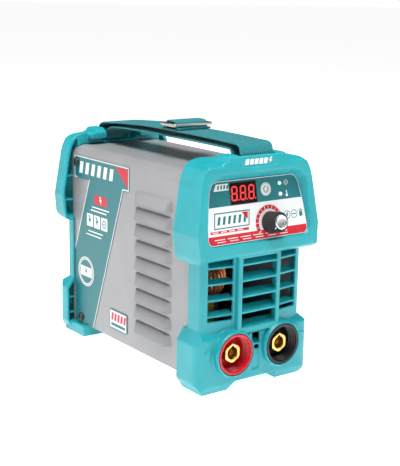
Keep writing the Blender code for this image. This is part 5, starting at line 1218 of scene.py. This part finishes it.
class INVERTER_OT_rear(InverterOperator, bpy.types.Operator):
    """Builds the fan, the mains switch and the cable gland"""

    bl_idname = "inverter.rear"
    bl_label = "Rear fittings"

    def execute(self, context):
        for node, name, finish, body in (("fan_frame", "fan_housing", "black", "machine"),
                                         ("fan_rotor", "fan_blades", "black", "fan"),
                                         ("switch_housing", "switch_body", "black", "machine"),
                                         ("switch_rocker", "rocker_key", "black", "rocker"),
                                         ("gland_nut", "gland_locknut", "black", "machine")):
            piece = copy_of(node, name)
            soften(piece, 0.3 * MM, 2, 35, True)
            done(piece, finish, [node], body)
        low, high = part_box("cable_gland")
        centre = (low + high) / 2
        where = axes_at((centre.x, high.y, centre.z), (-1, 0, 0), (0, 0, 1))
        depth = high.y - low.y
        bore, thread = 4.2 * MM, 8.0 * MM
        profile = [(bore, -depth), (thread, -depth)]
        for step in range(7):
            level = -depth + (1.2 + 1.3 * step) * MM
            profile += [(thread - 0.45 * MM, level), (thread, level + 0.65 * MM)]
        profile += [(thread, -13.2 * MM), (11.0 * MM, -13.2 * MM), (11.0 * MM, -12.6 * MM),
                    (10.6 * MM, -9.4 * MM), (8.2 * MM, -9.0 * MM), (8.4 * MM, -8.4 * MM),
                    (8.2 * MM, -2.2 * MM), (6.8 * MM, -0.4 * MM), (5.4 * MM, 0), (bore, -0.3 * MM),
                    (bore, -depth)]
        gland = lathe("gland_body", profile, 60)
        edit(gland)
        pick("VERT", lambda vertex: vertex.co.z > -9 * MM and 8.1 * MM < vertex.co.xy.length
             and round(math.degrees(math.atan2(vertex.co.y, vertex.co.x)) / 6) % 3 == 0)
        swell((0.95, 0.95, 1), (0, 0, 0))
        hold(gland)
        done(place(gland, where), "black", ["cable_gland"], angle=30)
        return finished()


class INVERTER_OT_inside(InverterOperator, bpy.types.Operator):
    """Dresses the power electronics behind the vents and winds the choke"""

    bl_idname = "inverter.inside"
    bl_label = "Power electronics"

    def execute(self, context):
        plain = {
            "base_tray": "tray", "control_board": "board", "main_board": "board",
            "transformer_core": "ferrite", "transformer_winding": "tape", "choke_pad": "fibre",
            "choke_core": "ferrite", "heatsink_primary": "alloy", "heatsink_secondary": "alloy",
            "igbt_1": "black", "igbt_2": "black", "output_diode_1": "black", "output_diode_2": "black",
            "bulk_capacitor_1": "sleeve", "bulk_capacitor_2": "sleeve", "bridge_rectifier": "black",
            "soft_start_relay": "sleeve",
        }
        for node, finish in plain.items():
            dress(node, finish)
        for node in NODES:
            if node.startswith("board_standoff"):
                dress(node, "brass")
        low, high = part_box("choke_core")
        centre = (low + high) / 2
        outer, height = (high.x - low.x) / 2, high.z - low.z
        inner = 8.6 * MM
        wire = 1.0 * MM
        turns = 26
        hold(None)
        bpy.ops.mesh.primitive_torus_add(major_radius=(outer - inner) / 2 + 1.35 * wire, minor_radius=wire,
                                         major_segments=28, minor_segments=10, rotation=(math.pi / 2, 0, 0))
        bpy.ops.object.transform_apply(location=True, rotation=True, scale=True)
        one = named("choke_turn")
        edit(one)
        stretch = height / (outer - inner)
        swell((1, 1, stretch), (0, 0, 0))
        hold(one)
        one.location = ((outer + inner) / 2, 0, 0)
        bpy.ops.object.transform_apply(location=True, rotation=True, scale=True)
        loops = []
        for number in range(turns):
            loop = twin(one, f"turn_{number}")
            spin = math.radians(28 + 304 * number / (turns - 1))
            place(loop, Matrix.Translation(centre) @ Matrix.Rotation(spin, 4, "Z") @ Matrix.Rotation(0.10, 4,
                                                                                                     "X"))
            loops.append(loop)
        bpy.data.objects.remove(one, do_unlink=True)
        done(joined(loops, "choke_wire"), "copper", ["choke_winding"])
        return finished()


# ---- stage ---------------------------------------------------------------------------------------


AIM = (0, 0, 0.09)  # the point that the lights face
# light: place, size and power in watts
LIGHTS = {
    "key_light": ((0.85, -1.25, 1.05), (0.7, 0.7), 5),
    "top_light": ((-0.3, -0.25, 1.5), (0.8, 0.8), 32),
    "rear_rim_light": ((-0.9, 0.9, 0.75), (0.5, 0.9), 3),
}
CAMERA_PLACE = Vector((-462.0, -645.76, 276.6)) * MM
CAMERA_TARGET = Vector((20.58, 1.14, 93.55)) * MM
CAMERA_ROLL = math.radians(1.04)


def lamp(name, place_at, size, power):
    light = bpy.data.lights.new(name, "AREA")
    light.shape = "RECTANGLE"
    light.size, light.size_y = size
    light.energy = power
    holder = bpy.data.objects.new(name, light)
    bpy.context.scene.collection.objects.link(holder)
    holder.location = place_at
    holder.rotation_euler = (Vector(AIM) - Vector(place_at)).to_track_quat("-Z", "Y").to_euler()


class INVERTER_OT_stage(InverterOperator, bpy.types.Operator):
    """Builds the pale floor, the soft studio lights and the camera"""

    bl_idname = "inverter.stage"
    bl_label = "Studio stage"

    def execute(self, context):
        scene = context.scene
        hold(None)
        bpy.ops.mesh.primitive_plane_add(size=90, location=(0, 0, CAD_BOUNDS[0][2] - 0.2 * MM))
        floor = named("studio_floor")
        tone = scene.inverter_stage.floor
        paper = {"Emission Color": shade(1, 1, 1), "Emission Strength": 0.9}
        floor.data.materials.append(
            grained("floor_paper", tone, darker(tone, 0.985), 3, 900, (0.55, 0.65), 0.01, **paper))
        world = bpy.data.worlds.new("studio")
        world.use_nodes = True
        sky = world.node_tree.nodes["Background"]
        sky.inputs["Color"].default_value = shade(1, 1, 1)
        # white near the floor, and dim overhead, so that the machine is lit by the lamps
        skyward = node_in(world, "ShaderNodeTexCoord").outputs["Generated"]
        height = node_in(world, "ShaderNodeSeparateXYZ", {"Vector": skyward}).outputs["Z"]
        world.node_tree.links.new(ranged(world, height, 0.03, 0.10, 1.0, 0.06), sky.inputs["Strength"])
        scene.world = world
        scene.view_settings.view_transform = "Standard"
        for name, facts in LIGHTS.items():
            lamp(name, *facts)
        self.camera(scene)
        return finished()

    def camera(self, scene):
        """A camera on the left of the control panel, a little above it, rolled by about one degree."""
        lens = bpy.data.cameras.new("studio_camera")
        lens.lens = scene.inverter_stage.lens
        lens.sensor_width = 36
        holder = bpy.data.objects.new("studio_camera", lens)
        scene.collection.objects.link(holder)
        forward = (CAMERA_TARGET - CAMERA_PLACE).normalized()
        level = forward.cross(Vector((0, 0, 1))).normalized()
        upright = level.cross(forward)
        right = math.cos(CAMERA_ROLL) * level + math.sin(CAMERA_ROLL) * upright
        up = -math.sin(CAMERA_ROLL) * level + math.cos(CAMERA_ROLL) * upright
        matrix = Matrix((right, up, -forward)).transposed().to_4x4()
        matrix.translation = CAMERA_PLACE
        holder.matrix_world = matrix
        lens.clip_start = 0.01
        scene.camera = holder


# ---- panel and registration ----------------------------------------------------------------------

OPERATORS = (INVERTER_OT_bezels, INVERTER_OT_cover, INVERTER_OT_screws, INVERTER_OT_panel,
             INVERTER_OT_display, INVERTER_OT_knob, INVERTER_OT_sockets, INVERTER_OT_strap,
             INVERTER_OT_buckle, INVERTER_OT_labels, INVERTER_OT_rear, INVERTER_OT_inside, INVERTER_OT_stage)
SETTINGS = {
    "inverter_body": InverterBodySettings,
    "inverter_strap": InverterStrapSettings,
    "inverter_panel": InverterPanelSettings,
    "inverter_stage": InverterStageSettings,
}


class INVERTER_PT_builder(bpy.types.Panel):
    """Lists the settings and the pieces in the 3D view's sidebar"""

    bl_idname = "INVERTER_PT_builder"
    bl_label = "Welding inverter"
    bl_space_type = "VIEW_3D"
    bl_region_type = "UI"
    bl_category = "Inverter"

    def draw(self, context):
        for name, group in SETTINGS.items():
            box = self.layout.box()
            for setting in group.__annotations__:
                box.prop(getattr(context.scene, name), setting)
        for operator in OPERATORS:
            self.layout.operator(operator.bl_idname)


def register():
    for name, group in SETTINGS.items():
        bpy.utils.register_class(group)
        setattr(bpy.types.Scene, name, PointerProperty(type=group))
    for item in (*OPERATORS, INVERTER_PT_builder):
        bpy.utils.register_class(item)


def unregister():
    for item in reversed((*OPERATORS, INVERTER_PT_builder)):
        bpy.utils.unregister_class(item)
    for name, group in SETTINGS.items():
        delattr(bpy.types.Scene, name)
        bpy.utils.unregister_class(group)


def main():
    """Builds the whole machine."""
    register()
    for operator in OPERATORS:
        group, action = operator.bl_idname.split(".")
        getattr(getattr(bpy.ops, group), action)()
    bpy.context.view_layer.update()


if __name__ == "__main__":
    main()
